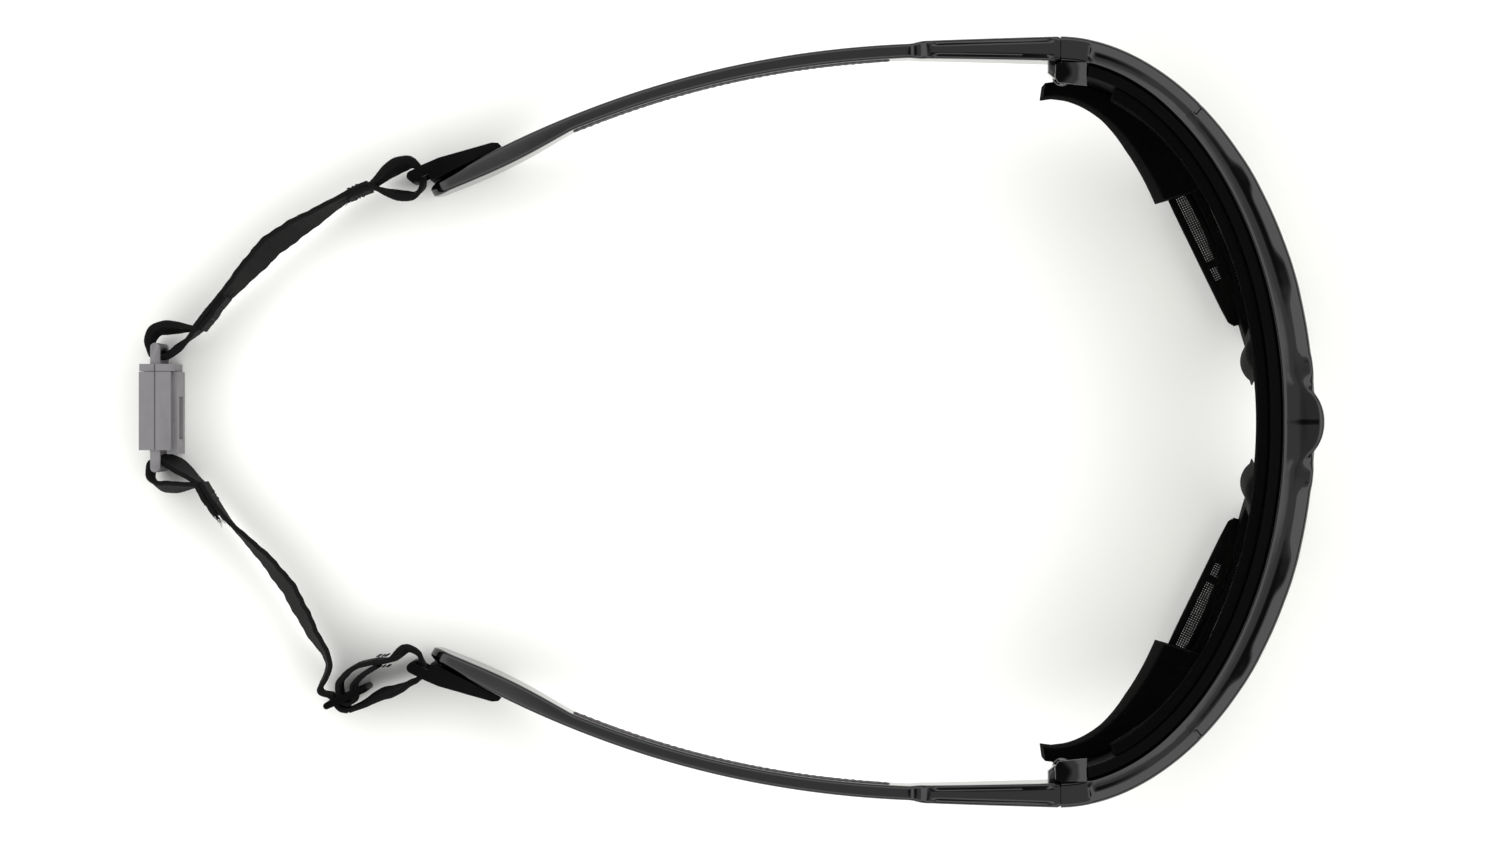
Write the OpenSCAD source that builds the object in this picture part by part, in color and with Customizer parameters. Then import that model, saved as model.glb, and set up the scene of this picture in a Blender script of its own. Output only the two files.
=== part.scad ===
// Wraparound foam-padded safety glasses with a clip-on retainer strap.
// Millimetres, +Z up, front facing -Y, +X is the wearer's left.
// Origin: on the resting surface, under the middle of the overall length and width.

/* [Front] */
// Half width across the outside of the front at the hinges
front_half_w = 77.7; // [70:0.1:82]
// Depth of the front from the hinge line to the brow
front_depth = 51; // [46:0.5:56]
// Roundness of the wrap seen from above, 2 is an ellipse
wrap_power = 1.9; // [1.7:0.05:2.2]
// Thickness of the front at the side, seen from above
rim_side_t = 5.2; // [4:0.1:6]
// Thickness of the front at the brow, seen from above
rim_brow_t = 6.6; // [5:0.1:7.5]
// Overall height of the front
front_h = 45; // [42:1:48]
// Thickness of each lens
lens_t = 2.2; // [1.8:0.1:2.4]
// Thickness of the gasket carrier
carrier_t = 2.4; // [2:0.1:2.8]
// Radius of the bump over the nose bridge
bridge_r = 9; // [7:0.5:11]

/* [Temples] */
// Length from the hinge line to the tip
temple_len = 128; // [120:1:134]
// Thickness of the slim part of the arm
temple_t = 2.9; // [2.4:0.1:3.4]
// Thickness of the block next to the hinge
temple_block_t = 5; // [4.4:0.1:5.4]
// How far the tip curves in towards the head
temple_sweep = 26.8; // [22:0.2:30]
// Length of the straight stretch behind the hinge
temple_straight = 24; // [18:1:30]
// Thickness of the soft liner on the inner face
liner_t = 0.7; // [0.5:0.1:0.9]

/* [Hinge] */
// Distance of the hinge pin from the middle plane
hinge_x = 70.3; // [70.2:0.1:70.4]
// Distance of the hinge pin in front of the joint line
hinge_back = 0.8; // [0.6:0.1:1]
// Outer radius of the knuckles
knuckle_r = 2; // [1.8:0.1:2]
// Radius of the hinge screw
screw_r = 0.7; // [0.6:0.05:0.8]

/* [Strap] */
// Width of the webbing
web_w = 10.2; // [9.6:0.1:10.4]
// Thickness of the webbing
web_t = 1.1; // [0.9:0.05:1.2]
// Height of the clips and of the buckle
clip_h = 14; // [13.8:0.1:14.4]
// Radius of the strap bars on the clips
bar_r = 1.1; // [1:0.05:1.2]

/* [Buckle and slider] */
// Length of the socket body
buckle_l = 16.3; // [15.8:0.1:16.8]
// Thickness of the buckle
buckle_t = 6.6; // [6.4:0.1:6.8]
// Length of the slider
slider_l = 9.8; // [9.6:0.1:10.2]

/* [Hidden] */
eps = 0.01;
seat = 0.1;              // gap between neighbouring shells that follow the wrap
steps = 5;               // straight pieces between two points of a smooth curve
hinge_line_y = -68.45;   // the hinge line, measured from the origin
joint_gap = 0.2;         // gap between the front and each temple when open
big = 200;

// ---- heights ----
temple_top = 38.5;
temple_low = 27.5;
knuckle_z = [28.2, 31.2, 34.8, 37.8];
foam_top = 25;
foam_low = 5;
web_z = (clip_h - web_w) / 2;

// ---- curves seen from above ----
// A point of the wrap: a superellipse of the given half width and depth.
function wrap(a, half_w, depth) =
    [half_w * sign(cos(a)) * pow(abs(cos(a)), 2 / wrap_power), -depth * pow(sin(a), 2 / wrap_power)];
function wrap_line(half_w, depth, from, to, count) =
    [for (i = [0:count]) wrap(from + (to - from) * i / count, half_w, depth)];
function reversed(list) = [for (i = [len(list) - 1:-1:0]) list[i]];

// A smooth curve through points: Catmull-Rom, with the end points repeated.
function blend_point(a, b, c, d, t) =
    0.5 * (2 * b + (c - a) * t + (2 * a - 5 * b + 4 * c - d) * t * t
        + (3 * b - a - 3 * c + d) * t * t * t);
function smooth(pts) = [
    for (i = [0:len(pts) - 2], s = [0:steps - 1])
        blend_point(pts[max(i - 1, 0)], pts[i], pts[i + 1], pts[min(i + 2, len(pts) - 1)], s / steps),
    pts[len(pts) - 1]
];
function smooth_loop(pts) = let (n = len(pts)) [
    for (i = [0:n - 1], s = [0:steps - 1])
        blend_point(pts[(i + n - 1) % n], pts[i], pts[(i + 1) % n], pts[(i + 2) % n], s / steps)
];

// A ribbon of even or varying thickness along a line seen from above.
function unit(v) = v / norm(v);
function side_of(pts, i) =
    let (d = unit(pts[min(i + 1, len(pts) - 1)] - pts[max(i - 1, 0)])) [d[1], -d[0]];
function shifted(pts, by) = [for (i = [0:len(pts) - 1]) pts[i] + side_of(pts, i) * by[i]];
function even(pts, t) = [for (p = pts) t];
function strip(pts, from, to) = concat(shifted(pts, even(pts, from)), reversed(shifted(pts, even(pts, to))));
module ribbon(pts, t) { polygon(strip(pts, t / 2, -t / 2)); }

module from_hinge_line() { translate([0, hinge_line_y, 0]) children(); }
module both_sides() { children(); mirror([1, 0, 0]) children(); }
// Left is +X. The right-hand part is the left-hand part mirrored.
module on_side(side) { if (side > 0) children(); else mirror([1, 0, 0]) children(); }
// A shape drawn in X and Z, carried along Y through the whole front.
module through_front() { translate([0, 60, 0]) rotate([90, 0, 0]) linear_extrude(big) children(); }

// ---- outlines of the front seen from the front, left half, X and Z ----
brow_line = [[0, 40.5], [12, 42], [28, front_h - 0.6], [46, front_h], [62, 43.4], [72, 40.6], [82, 37.8]];
cheek_line = [[82, 27.6], [75, 24.5], [69, 17], [60, 8], [47, 2], [32, 0], [20, 2.6], [13.5, 9.5], [10, 17],
    [6, 23.5], [0, 26]];
eye_line = [[10.5, 31], [18, 37], [32, 39.4], [48, 39.6], [60, 37], [65.5, 30], [63.5, 20.5], [56, 11.6],
    [44, 6.2], [31, 4.6], [22, 7.4], [16.5, 14.5], [12.6, 23]];

module half_face(grow) {
    intersection() {
        offset(delta = grow) polygon(concat([[-10, cheek_line[10][1]], [-10, brow_line[0][1]]],
            smooth(brow_line), smooth(cheek_line)));
        translate([0, -10]) square([big, big]);
    }
}
module face(grow = 0) { both_sides() half_face(grow); }
module eye(grow = 0) { offset(delta = grow) polygon(smooth_loop(eye_line)); }

// The band between two wraps, seen from above.
module band(outer_w, outer_d, inner_w, inner_d, from = 0, to = 180, count = 64) {
    polygon(concat(wrap_line(outer_w, outer_d, from, to, count),
        reversed(wrap_line(inner_w, inner_d, from, to, count))));
}
ridge_w = front_half_w - rim_side_t;
ridge_d = front_depth - rim_brow_t;
carrier_w = ridge_w - carrier_t;
carrier_d = ridge_d - carrier_t;
foam_w = carrier_w - 2.4;
foam_d = carrier_d - 2.2;
pad_w = 66.8;            // face side of the thick side pads
pad_d = 31.3;
lens_w = front_half_w - 1.6;
lens_d = front_depth - 1.6;

// ---- front assembly ----
module lens(side, grow = 0) {
    intersection() {
        linear_extrude(big, center = true)
            band(lens_w, lens_d, lens_w - lens_t, lens_d - lens_t, 14, 90, 36);
        through_front() eye(1.2);
        translate([8, -big / 2, 0]) cube([big, big, big]);
    }
}

module frame_front() {
    color([0.05, 0.05, 0.055]) from_hinge_line() difference() {
        union() {
            intersection() {
                linear_extrude(front_h + 1) union() {
                    band(front_half_w, front_depth, ridge_w, ridge_d);
                    translate([0, -front_depth - 1.9 + bridge_r]) intersection() {
                        circle(bridge_r, $fn = 64);
                        translate([-bridge_r, -bridge_r]) square([2 * bridge_r, bridge_r - 1]);
                    }
                }
                through_front() difference() {
                    face();
                    both_sides() eye();
                }
            }
            both_sides() for (i = [0, 2]) translate([0, 0, knuckle_z[i]]) hinge_lug(knuckle_z[i + 1] - knuckle_z[i]);
        }
        both_sides() lens(1);
        both_sides() translate([hinge_x, -hinge_back, 0]) cylinder(h = front_h, r = screw_r + 0.02, $fn = 32);
        both_sides() translate([hinge_x, -hinge_back, knuckle_z[3] - 0.6]) cylinder(h = 2, r = 1.35, $fn = 32);
    }
}
module hinge_lug(h) {
    translate([hinge_x, -hinge_back, 0]) cylinder(h = h, r = knuckle_r, $fn = 48);
    translate([hinge_x, -hinge_back - knuckle_r, 0]) cube([3, knuckle_r + hinge_back, h]);
}
module lens_left() { color([0.85, 0.9, 0.8, 0.4]) from_hinge_line() lens(1); }
module lens_right() { color([0.85, 0.9, 0.8, 0.4]) from_hinge_line() mirror([1, 0, 0]) lens(1); }

module hinge_space() {
    both_sides() translate([hinge_x - 4, -5.2, foam_top + 1.2]) cube([big, big, big]);
}
module gasket_carrier() {
    color([0.1, 0.1, 0.1]) from_hinge_line() difference() {
        intersection() {
            linear_extrude(front_h) band(ridge_w - seat, ridge_d - seat, carrier_w, carrier_d, 3, 177);
            through_front() difference() {
                face(-1.2);
                both_sides() eye(-0.4);
            }
        }
        hinge_space();
    }
}
module foam_brow() {
    color([0.16, 0.15, 0.16]) from_hinge_line() intersection() {
        linear_extrude(front_h) band(carrier_w - seat, carrier_d - seat, foam_w, foam_d, 16, 164);
        through_front() difference() {
            face(-2);
            both_sides() eye(-1.4);
            translate([-big / 2, -1]) square([big, 34]);
        }
    }
}
module foam_side(side) {
    color([0.14, 0.13, 0.14]) from_hinge_line() on_side(side) intersection() {
        translate([0, 0, foam_low]) linear_extrude(foam_top - foam_low) polygon(concat(
            wrap_line(carrier_w - seat, carrier_d - seat, 4, 44, 14), reversed(wrap_line(pad_w, pad_d, 2, 44, 14)),
            [[pad_w, 2.6], [pad_w + 2.6, 2.2]]));
        through_front() union() {
            half_face(-2.2);
            translate([60, 14]) square([12, 20]);
        }
    }
}
// A thin plate along the lower limb of the carrier, running under the side pad. Its free
// edge is straight, and a long and a short vent slot lie beside it.
plate_low = 3.2;
plate_top = 4.8;
plate_ends = [36, 73];   // where it starts and ends round the wrap
plate_edge = [[20.8, -37.6], [49.5, -23.6]];
slots = [[5.5, 16.2], [-5.6, 2.8]];   // middle of each slot along the edge, and its length
slot_w = 2.4;
slot_in = 2.7;           // middle of the slots, measured from the free edge
module vent_plate(side) {
    back = wrap_line(carrier_w - seat, carrier_d - seat, plate_ends[0], plate_ends[1], 14);
    middle = (plate_edge[0] + plate_edge[1]) / 2;
    turn = atan2(plate_edge[1][1] - plate_edge[0][1], plate_edge[1][0] - plate_edge[0][0]);
    color([0.16, 0.15, 0.16]) from_hinge_line() on_side(side) difference() {
        intersection() {
            translate([0, 0, plate_low]) linear_extrude(plate_top - plate_low) polygon(concat(back, plate_edge));
            through_front() half_face(-2);
        }
        translate([middle[0], middle[1], plate_low - 1]) rotate([0, 0, turn]) for (s = slots)
            translate([s[0] - s[1] / 2, -slot_in - slot_w / 2, 0]) cube([s[1], slot_w, plate_top]);
    }
}
// A rounded pad standing on the rear face of the carrier, beside the nose.
pad_r = 5;
module nose_pad(side) {
    color([0.08, 0.08, 0.08]) from_hinge_line() on_side(side) difference() {
        translate([12.6, -44.3, 11.5]) rotate([0, 12, 0]) {
            cylinder(h = 8, r = pad_r, $fn = 64);
            sphere(r = pad_r, $fn = 64);
            translate([0, 0, 8]) sphere(r = pad_r, $fn = 64);
        }
        translate([0, 0, -1]) linear_extrude(big) polygon(concat(
            wrap_line(carrier_w - seat, carrier_d - seat, 60, 100, 14), [[-20, -big], [90, -big]]));
    }
}
module hinge_screw(side) {
    color("silver") from_hinge_line() on_side(side) translate([hinge_x, -hinge_back, 0]) {
        translate([0, 0, knuckle_z[0] - 0.2]) cylinder(h = knuckle_z[3] - knuckle_z[0] - 0.4, r = screw_r, $fn = 32);
        translate([0, 0, knuckle_z[3] - 0.6]) difference() {
            cylinder(h = 0.7, r = 1.3, $fn = 32);
            translate([-2, -0.2, 0.4]) cube([4, 0.4, 1]);
        }
    }
}

// ---- temples, in the left-hand position ----
function temple_x(y) = front_half_w - 2.6
    - temple_sweep * pow(max(0, y - temple_straight) / (temple_len - temple_straight), 2.15);
temple_line = [for (y = [joint_gap, 5, 12, 20, 26, 32, 40, 48, 56, 64, 72, 80, 88, 96, 102, 108, 113, 118, 123, 127,
    temple_len]) [temple_x(y), y]];
// Half thickness outwards and inwards at each place along the arm.
function outer_t(y) = y < 27 ? temple_block_t / 2 + 0.15 : temple_t / 2;
function inner_t(y) = y < 27 ? temple_block_t / 2 - 0.15
    : (y > 100 && y < 126) ? temple_t / 2 + 1.1 * sin(180 * (y - 100) / 26) : temple_t / 2 - (y > 127 ? 0.5 : 0);
top_line = [[joint_gap, temple_top], [25, 36.4], [60, 28.8], [100, 18.6], [118, 13.6], [129, 10.4]];
low_line = [[129, 2.4], [125, 0.3], [119, 1], [108, 5.6], [96, 10.6], [60, 21.4], [30, 27.6], [16, 28.2],
    [joint_gap, temple_low]];

// The side view of the arm, Y and Z, carried across in X.
module arm_side(grow = 0) {
    rotate([90, 0, 90]) linear_extrude(big) offset(delta = grow) polygon(concat(smooth(top_line), smooth(low_line)));
}
module arm_blank() {
    intersection() {
        linear_extrude(front_h) polygon(concat(
            shifted(temple_line, [for (p = temple_line) outer_t(p[1])]),
            reversed(shifted(temple_line, [for (p = temple_line) -inner_t(p[1])]))));
        arm_side();
    }
}
liner_line = [for (y = [34:6:100]) [temple_x(y), y]];
module liner_blank() {
    intersection() {
        linear_extrude(front_h) polygon(strip(liner_line, -temple_t / 2 + liner_t, -temple_t / 2 - 0.2));
        arm_side(-1.6);
    }
}

// The straight frame of the temple tip: +X outwards, +Y along the arm towards the strap.
tip_y = 121;
tip_turn = 27;
tip_at = [temple_x(tip_y), tip_y];
module at_tip() { translate([tip_at[0], tip_at[1], 0]) rotate([0, 0, tip_turn]) children(); }
function from_tip(p) = tip_at + [p[0] * cos(tip_turn) - p[1] * sin(tip_turn),
    p[0] * sin(tip_turn) + p[1] * cos(tip_turn)];
stud_at = [-3, 6];       // place of the snap stud along the tip and above the table
stud_half = 1.4;         // half the distance between its round ends
stud_r = 1.5;
clip_end = 7.8;
bar_at = [4.4, 10.9];

module oblong(r) {
    translate([0, stud_at[0], stud_at[1]]) rotate([0, 90, 0]) {
        for (s = [-1, 1]) translate([0, s * stud_half, -5]) cylinder(h = 10, r = r, $fn = 40);
        translate([-r, -stud_half, -5]) cube([2 * r, 2 * stud_half, 10]);
    }
}
module temple_body() {
    difference() {
        union() {
            arm_blank();
            translate([hinge_x, -hinge_back, knuckle_z[1] + 0.1])
                cylinder(h = knuckle_z[2] - knuckle_z[1] - 0.2, r = knuckle_r, $fn = 48);
            translate([hinge_x, joint_gap, knuckle_z[1] + 0.1])
                cube([3, 2.2, knuckle_z[2] - knuckle_z[1] - 0.2]);
        }
        translate([hinge_x, -hinge_back, 0]) cylinder(h = front_h, r = screw_r + 0.05, $fn = 32);
        liner_blank();
        at_tip() oblong(stud_r + 0.05);
    }
}
module temple(side) { color([0.05, 0.05, 0.055]) from_hinge_line() on_side(side) temple_body(); }
module temple_liner(side) {
    color([0.3, 0.28, 0.3]) from_hinge_line() on_side(side) intersection() {
        liner_blank();
        linear_extrude(front_h) polygon(strip(liner_line, 1, -temple_t / 2 - 0.15));
    }
}
module clip(side) {
    color([0.06, 0.06, 0.06]) from_hinge_line() on_side(side) at_tip() {
        intersection() {
            linear_extrude(clip_h) polygon([[temple_t / 2 + 0.15, -8.4], [2.7, -8.1], [3.3, -7], [5.3, 4.4],
                [5.5, clip_end], [temple_t / 2 + 0.3, clip_end]]);
            rotate([90, 0, 90]) linear_extrude(10) polygon([[-8.4, 1.6], [-4, 0], [clip_end, 0],
                [clip_end, clip_h], [4, clip_h], [-6.6, 11.4], [-8.4, 10.2]]);
        }
        intersection() {
            oblong(stud_r);
            translate([-1.9, -20, 0]) cube([4.2, 40, 30]);
        }
        translate([bar_at[0], bar_at[1], 0]) cylinder(h = clip_h, r = bar_r, $fn = 40);
        for (z = [0, clip_h - 1.3]) translate([bar_at[0] - bar_r, clip_end - 0.5, z])
            cube([2 * bar_r, bar_at[1] - clip_end + 0.5, 1.3]);
    }
}

// ---- strap ----
buckle_x = 2.3;
buckle_y = 186;
socket_bar = [buckle_x - buckle_l / 2 - 3.6, buckle_y];
plug_bar = [buckle_x + buckle_l / 2 + 5, buckle_y];
left_bar = from_tip(bar_at);
right_bar = [-left_bar[0], left_bar[1]];
buckle_bar_r = 1;

ply_gap = 0.2;           // gap between a bar and the webbing round it

// The line of a loop of webbing round a bar: a teardrop whose round end passes the
// bar and whose point is loop_l beyond it, in the direction given by an angle. Its two
// sides stand off by their own amounts, the left one first.
function teardrop(bar, bar_radius, angle, sides) = [
    for (t = [0:12:360]) let (
        back = bar_radius + ply_gap + web_t / 2,
        along = -back + (loop_l + back) * (1 + cos(t)) / 2,
        across = (t < 180 ? sides[0] : sides[1]) / 0.72 * sin(t) * pow(sin(t / 2), 1.5))
        bar + [along * cos(angle) - across * sin(angle), along * sin(angle) + across * cos(angle)]
];
function tip_of(bar, angle) = bar + loop_l * [cos(angle), sin(angle)];

loop_l = 9.4;            // from a bar to the point where the two plies meet
loose_side = 3.6;        // how far the middle of a ply stands off from the line of the loop
tight_side = 2.05;
left_front_angle = 101;
left_rear_angle = -64;
left_start = tip_of(left_bar, left_front_angle);
left_end = tip_of(plug_bar, left_rear_angle);
left_line = smooth([left_start, [47.2, 146.6], [41.6, 155.6], [37, 162.4], [30.6, 168.4], [26.4, 172.2], left_end]);
module strap_left() {
    color([0.09, 0.09, 0.09]) from_hinge_line() translate([0, 0, web_z]) linear_extrude(web_w) offset(delta = eps) {
        ribbon(teardrop(left_bar, bar_r, left_front_angle, [loose_side, loose_side]), web_t);
        ribbon(teardrop(plug_bar, buckle_bar_r, left_rear_angle, [loose_side, tight_side]), web_t);
        ribbon(left_line, web_t);
        ribbon([for (i = [0:steps + 1]) left_line[i]], 2 * web_t);
        ribbon([for (i = [len(left_line) - steps - 1:len(left_line) - 1]) left_line[i]], 2 * web_t);
    }
}
// Rows of bar-tack stitches standing on both faces of the doubled webbing.
module bar_tack(at, angle) {
    color([0.15, 0.15, 0.15]) from_hinge_line() translate([at[0], at[1], web_z + 1]) rotate([0, 0, angle])
        for (s = [-1, 1], i = [-1:1]) translate([i * 0.9 - 0.2, s > 0 ? web_t : -web_t - 0.25, 0])
            cube([0.4, 0.25, web_w - 2]);
}
function line_angle(pts, i) = atan2(pts[i + 1][1] - pts[i - 1][1], pts[i + 1][0] - pts[i - 1][0]);

slider_at = [-57.2, 146.6];
slider_turn = atan2(slider_at[1] - right_bar[1], slider_at[0] - right_bar[0]);
slider_bar_r = 0.7;
slider_bar_gap = slider_l / 2 - slider_bar_r;
rail_h = 1.3;
function from_slider(p) = slider_at + [p[0] * cos(slider_turn) - p[1] * sin(slider_turn),
    p[0] * sin(slider_turn) + p[1] * cos(slider_turn)];
module at_slider() { translate([slider_at[0], slider_at[1], 0]) rotate([0, 0, slider_turn]) children(); }

// The long run: from the buckle to the slider, in through its rear slot and over its middle bar.
right_rear_angle = -112;
right_start = tip_of(socket_bar, right_rear_angle);
right_line = smooth([right_start, [-19, 173.4], [-27, 165.4], [-34.6, 159.2], [-43, 154.6], [-50.4, 150.6],
    from_slider([4.8, -3.6]), from_slider([3.1, -1.5]), from_slider([2.74, 0]), from_slider([2.2, 1.8]),
    from_slider([0.9, 2.75])]);
module strap_right() {
    color([0.09, 0.09, 0.09]) from_hinge_line() translate([0, 0, web_z]) linear_extrude(web_w) offset(delta = eps) {
        ribbon(teardrop(socket_bar, buckle_bar_r, right_rear_angle, [tight_side, loose_side]), web_t);
        ribbon(right_line, web_t);
        ribbon([for (i = [0:steps]) right_line[i]], 2 * web_t);
    }
}

// The loop: from the slider's outer face to the clip bar, round it and back to the sewn joint.
loop_line = smooth([from_slider([0.6, 2.85]), from_slider([-2.4, 2.9]), from_slider([-6.6, 2.6]),
    from_slider([-10.6, 3.1]), [right_bar[0] - 2.8, right_bar[1] - 0.6], [right_bar[0] - 0.7, right_bar[1] - 1.9],
    [right_bar[0] + 2.6, right_bar[1] - 0.9], [right_bar[0] + 3.6, right_bar[1] + 1.8], [-49.6, 137.4],
    from_slider([-8.4, -4.2])]);
// The sewn end, carried round the middle bar of the slider and back to the joint.
wrap_r = slider_bar_r + ply_gap + web_t / 2;
end_line = concat(
    smooth([from_slider([-8.4, -4.2]), from_slider([-4, -4.9]), from_slider([-0.4, -3.8]), from_slider([1.1, -1.9])]),
    [for (a = [-15:15:195]) from_slider(wrap_r * [cos(a), sin(a)])],
    smooth([from_slider([-2, -1.5]), from_slider([-4.6, -2.7]), from_slider([-8.4, -3.2])]));
module strap_loop() {
    color([0.09, 0.09, 0.09]) from_hinge_line() translate([0, 0, web_z]) linear_extrude(web_w) offset(delta = eps) {
        ribbon(loop_line, web_t);
        ribbon(end_line, web_t);
    }
}

module slider() {
    color([0.04, 0.04, 0.04]) from_hinge_line() at_slider() {
        for (s = [-1, 0, 1]) translate([s * slider_bar_gap, 0, 0]) cylinder(h = clip_h - 0.4, r = slider_bar_r, $fn = 32);
        for (z = [0, clip_h - 0.4 - rail_h]) translate([-slider_bar_gap, -slider_bar_r, z])
            cube([2 * slider_bar_gap, 2 * slider_bar_r, rail_h]);
    }
}

// ---- buckle, long axis along X, standing on edge ----
cavity_t = 3.8;
wall_x = 1.6;
flange_t = 1.2;
window = [-3.6, 5.3];    // lowest and highest X of the window in the flange
latch_l = 2.6;
module at_buckle() { translate([buckle_x, buckle_y, 0]) children(); }
// Two arms and a round bar for the webbing, clear of the webbing's edges.
arm_z = 0.4;
arm_h = 1.3;
module strap_post(x_from, x_bar) {
    for (z = [arm_z, clip_h - arm_z - arm_h]) translate([min(x_from, x_bar), -buckle_bar_r, z])
        cube([abs(x_bar - x_from), 2 * buckle_bar_r, arm_h]);
    translate([x_bar, 0, arm_z]) cylinder(h = clip_h - 2 * arm_z, r = buckle_bar_r, $fn = 32);
}
module buckle_socket() {
    color([0.42, 0.41, 0.42]) from_hinge_line() at_buckle() difference() {
        union() {
            translate([-buckle_l / 2, -buckle_t / 2, 0]) cube([buckle_l, buckle_t, clip_h]);
            translate([-buckle_l / 2 - 0.8, -buckle_t / 2 - flange_t, 1.4])
                cube([buckle_l + 0.8, flange_t + 1, clip_h - 2.8]);
            for (i = [-1:1]) translate([i * 1.5 - 0.4, buckle_t / 2 - 0.3, 4]) cube([0.8, 0.8, 6]);
            strap_post(-buckle_l / 2, socket_bar[0] - buckle_x);
        }
        translate([-buckle_l / 2 + wall_x, -cavity_t / 2, 1.8]) cube([big, cavity_t, clip_h - 3.6]);
        translate([window[0] - buckle_x, -10, 4.2]) cube([window[1] - window[0], 10, clip_h - 8.4]);
        for (z = [-1, clip_h - 0.3]) translate([-big / 2, -0.15, z]) cube([big, 0.3, 1.3]);
    }
}
module buckle_plug() {
    color([0.46, 0.45, 0.46]) from_hinge_line() at_buckle() {
        difference() {
            translate([buckle_l / 2 + 0.1, -buckle_t / 2 - 0.5, 0]) cube([1.5, buckle_t + 0.4, clip_h]);
            translate([buckle_l / 2, -0.15, clip_h - 0.3]) cube([3, 0.3, 1]);
        }
        translate([-buckle_l / 2 + wall_x + 0.6, -0.5, 2.1]) cube([buckle_l - wall_x, 2.2, clip_h - 4.2]);
        strap_post(buckle_l / 2 + 1.5, plug_bar[0] - buckle_x);
    }
}
module buckle_latch() {
    color([0.3, 0.29, 0.3]) from_hinge_line() at_buckle() {
        translate([window[0] + 0.3 - buckle_x, -buckle_t / 2 - 0.4, 4.5]) cube([latch_l, 2.2, clip_h - 9]);
        translate([window[0] + 0.3 - buckle_x, -cavity_t / 2 + 0.12, 4.5]) cube([11, 0.5, clip_h - 9]);
    }
}

frame_front();
lens_left();
lens_right();
gasket_carrier();
foam_brow();
foam_side(1);  // foam_side_left
foam_side(-1);  // foam_side_right
vent_plate(1);  // vent_plate_left
vent_plate(-1);  // vent_plate_right
nose_pad(1);  // nose_pad_left
nose_pad(-1);  // nose_pad_right
hinge_screw(1);  // hinge_screw_left
hinge_screw(-1);  // hinge_screw_right
temple(1);  // temple_left
temple(-1);  // temple_right
temple_liner(1);  // temple_liner_left
temple_liner(-1);  // temple_liner_right
clip(1);  // clip_left
clip(-1);  // clip_right
strap_left();
bar_tack(left_line[3], line_angle(left_line, 3));  // bar_tack_left_clip
bar_tack(left_line[len(left_line) - 4], line_angle(left_line, len(left_line) - 4));  // bar_tack_left_buckle
strap_right();
strap_loop();
bar_tack(right_line[2], line_angle(right_line, 2));  // bar_tack_right_buckle
bar_tack(loop_line[len(loop_line) - 3], line_angle(loop_line, len(loop_line) - 3));  // bar_tack_right_slider
buckle_socket();
buckle_plug();
buckle_latch();
slider();
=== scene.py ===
"""Foam-padded safety glasses with a clip-on retainer strap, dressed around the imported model.

Lengths in this file are millimetres from the hinge line (X to the wearer's left, Y to the rear,
Z up from the table); make_object() turns them into metres in the shared frame. Every curve of the
glasses repeats the formulas of the design: the front follows a superellipse seen from above.
"""

import logging
import math
from dataclasses import dataclass, field
from enum import Enum
from typing import Any, Sequence

import bmesh
import bpy
import numpy as np
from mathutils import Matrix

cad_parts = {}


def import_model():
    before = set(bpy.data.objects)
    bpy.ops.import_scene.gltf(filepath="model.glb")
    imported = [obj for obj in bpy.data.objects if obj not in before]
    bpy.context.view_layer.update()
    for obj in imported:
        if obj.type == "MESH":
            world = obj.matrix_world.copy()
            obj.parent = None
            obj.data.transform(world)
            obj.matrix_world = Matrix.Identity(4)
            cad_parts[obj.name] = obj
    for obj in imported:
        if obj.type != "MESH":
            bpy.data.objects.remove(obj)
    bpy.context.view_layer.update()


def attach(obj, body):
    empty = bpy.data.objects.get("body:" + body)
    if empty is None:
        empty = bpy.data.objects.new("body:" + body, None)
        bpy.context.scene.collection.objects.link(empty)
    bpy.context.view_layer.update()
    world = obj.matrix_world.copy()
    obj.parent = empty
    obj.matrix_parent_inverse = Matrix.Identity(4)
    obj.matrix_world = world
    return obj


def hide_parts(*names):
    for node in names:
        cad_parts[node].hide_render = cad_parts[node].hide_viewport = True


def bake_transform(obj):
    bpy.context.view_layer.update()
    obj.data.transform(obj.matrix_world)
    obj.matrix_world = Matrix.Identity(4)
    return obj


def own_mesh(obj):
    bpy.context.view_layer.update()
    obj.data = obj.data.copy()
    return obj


LOG = logging.getLogger("glasses")
MM = 0.001
HINGE_LINE_Y = -68.45
SIDES = {"left": 1, "right": -1}


# ---------------------------------------------------------------------------------------------
# Meshes
# ---------------------------------------------------------------------------------------------

def make_object(name: str, verts: np.ndarray, faces: Sequence,
                uv: np.ndarray | None = None) -> bpy.types.Object:
    """Puts points and faces into a smooth-shaded mesh with outward normals.

    Args:
        name: the piece's name.
        verts: points in millimetres from the hinge line, shape (n, 3).
        faces: vertex numbers of each face.
        uv: a place on the cloth for each point, in millimetres, shape (n, 2).

    Returns:
        The object, at the origin, with its place in its mesh.
    """
    place = (np.asarray(verts, float) + (0.0, HINGE_LINE_Y, 0.0)) * MM
    mesh = bpy.data.meshes.new(name)
    mesh.from_pydata(place.tolist(), [], [tuple(int(i) for i in f) for f in faces])
    if uv is not None:
        loops = np.empty(len(mesh.loops), np.int32)
        mesh.loops.foreach_get("vertex_index", loops)
        layer = mesh.uv_layers.new(name="cloth")
        layer.data.foreach_set("uv", np.asarray(uv, np.float32)[loops].ravel())
    work = bmesh.new()
    work.from_mesh(mesh)
    bmesh.ops.recalc_face_normals(work, faces=work.faces)
    work.to_mesh(mesh)
    work.free()
    mesh.shade_smooth()
    mesh.set_sharp_from_angle(angle=math.radians(42))
    piece = bpy.data.objects.new(name, mesh)
    bpy.context.scene.collection.objects.link(piece)
    return piece


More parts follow.
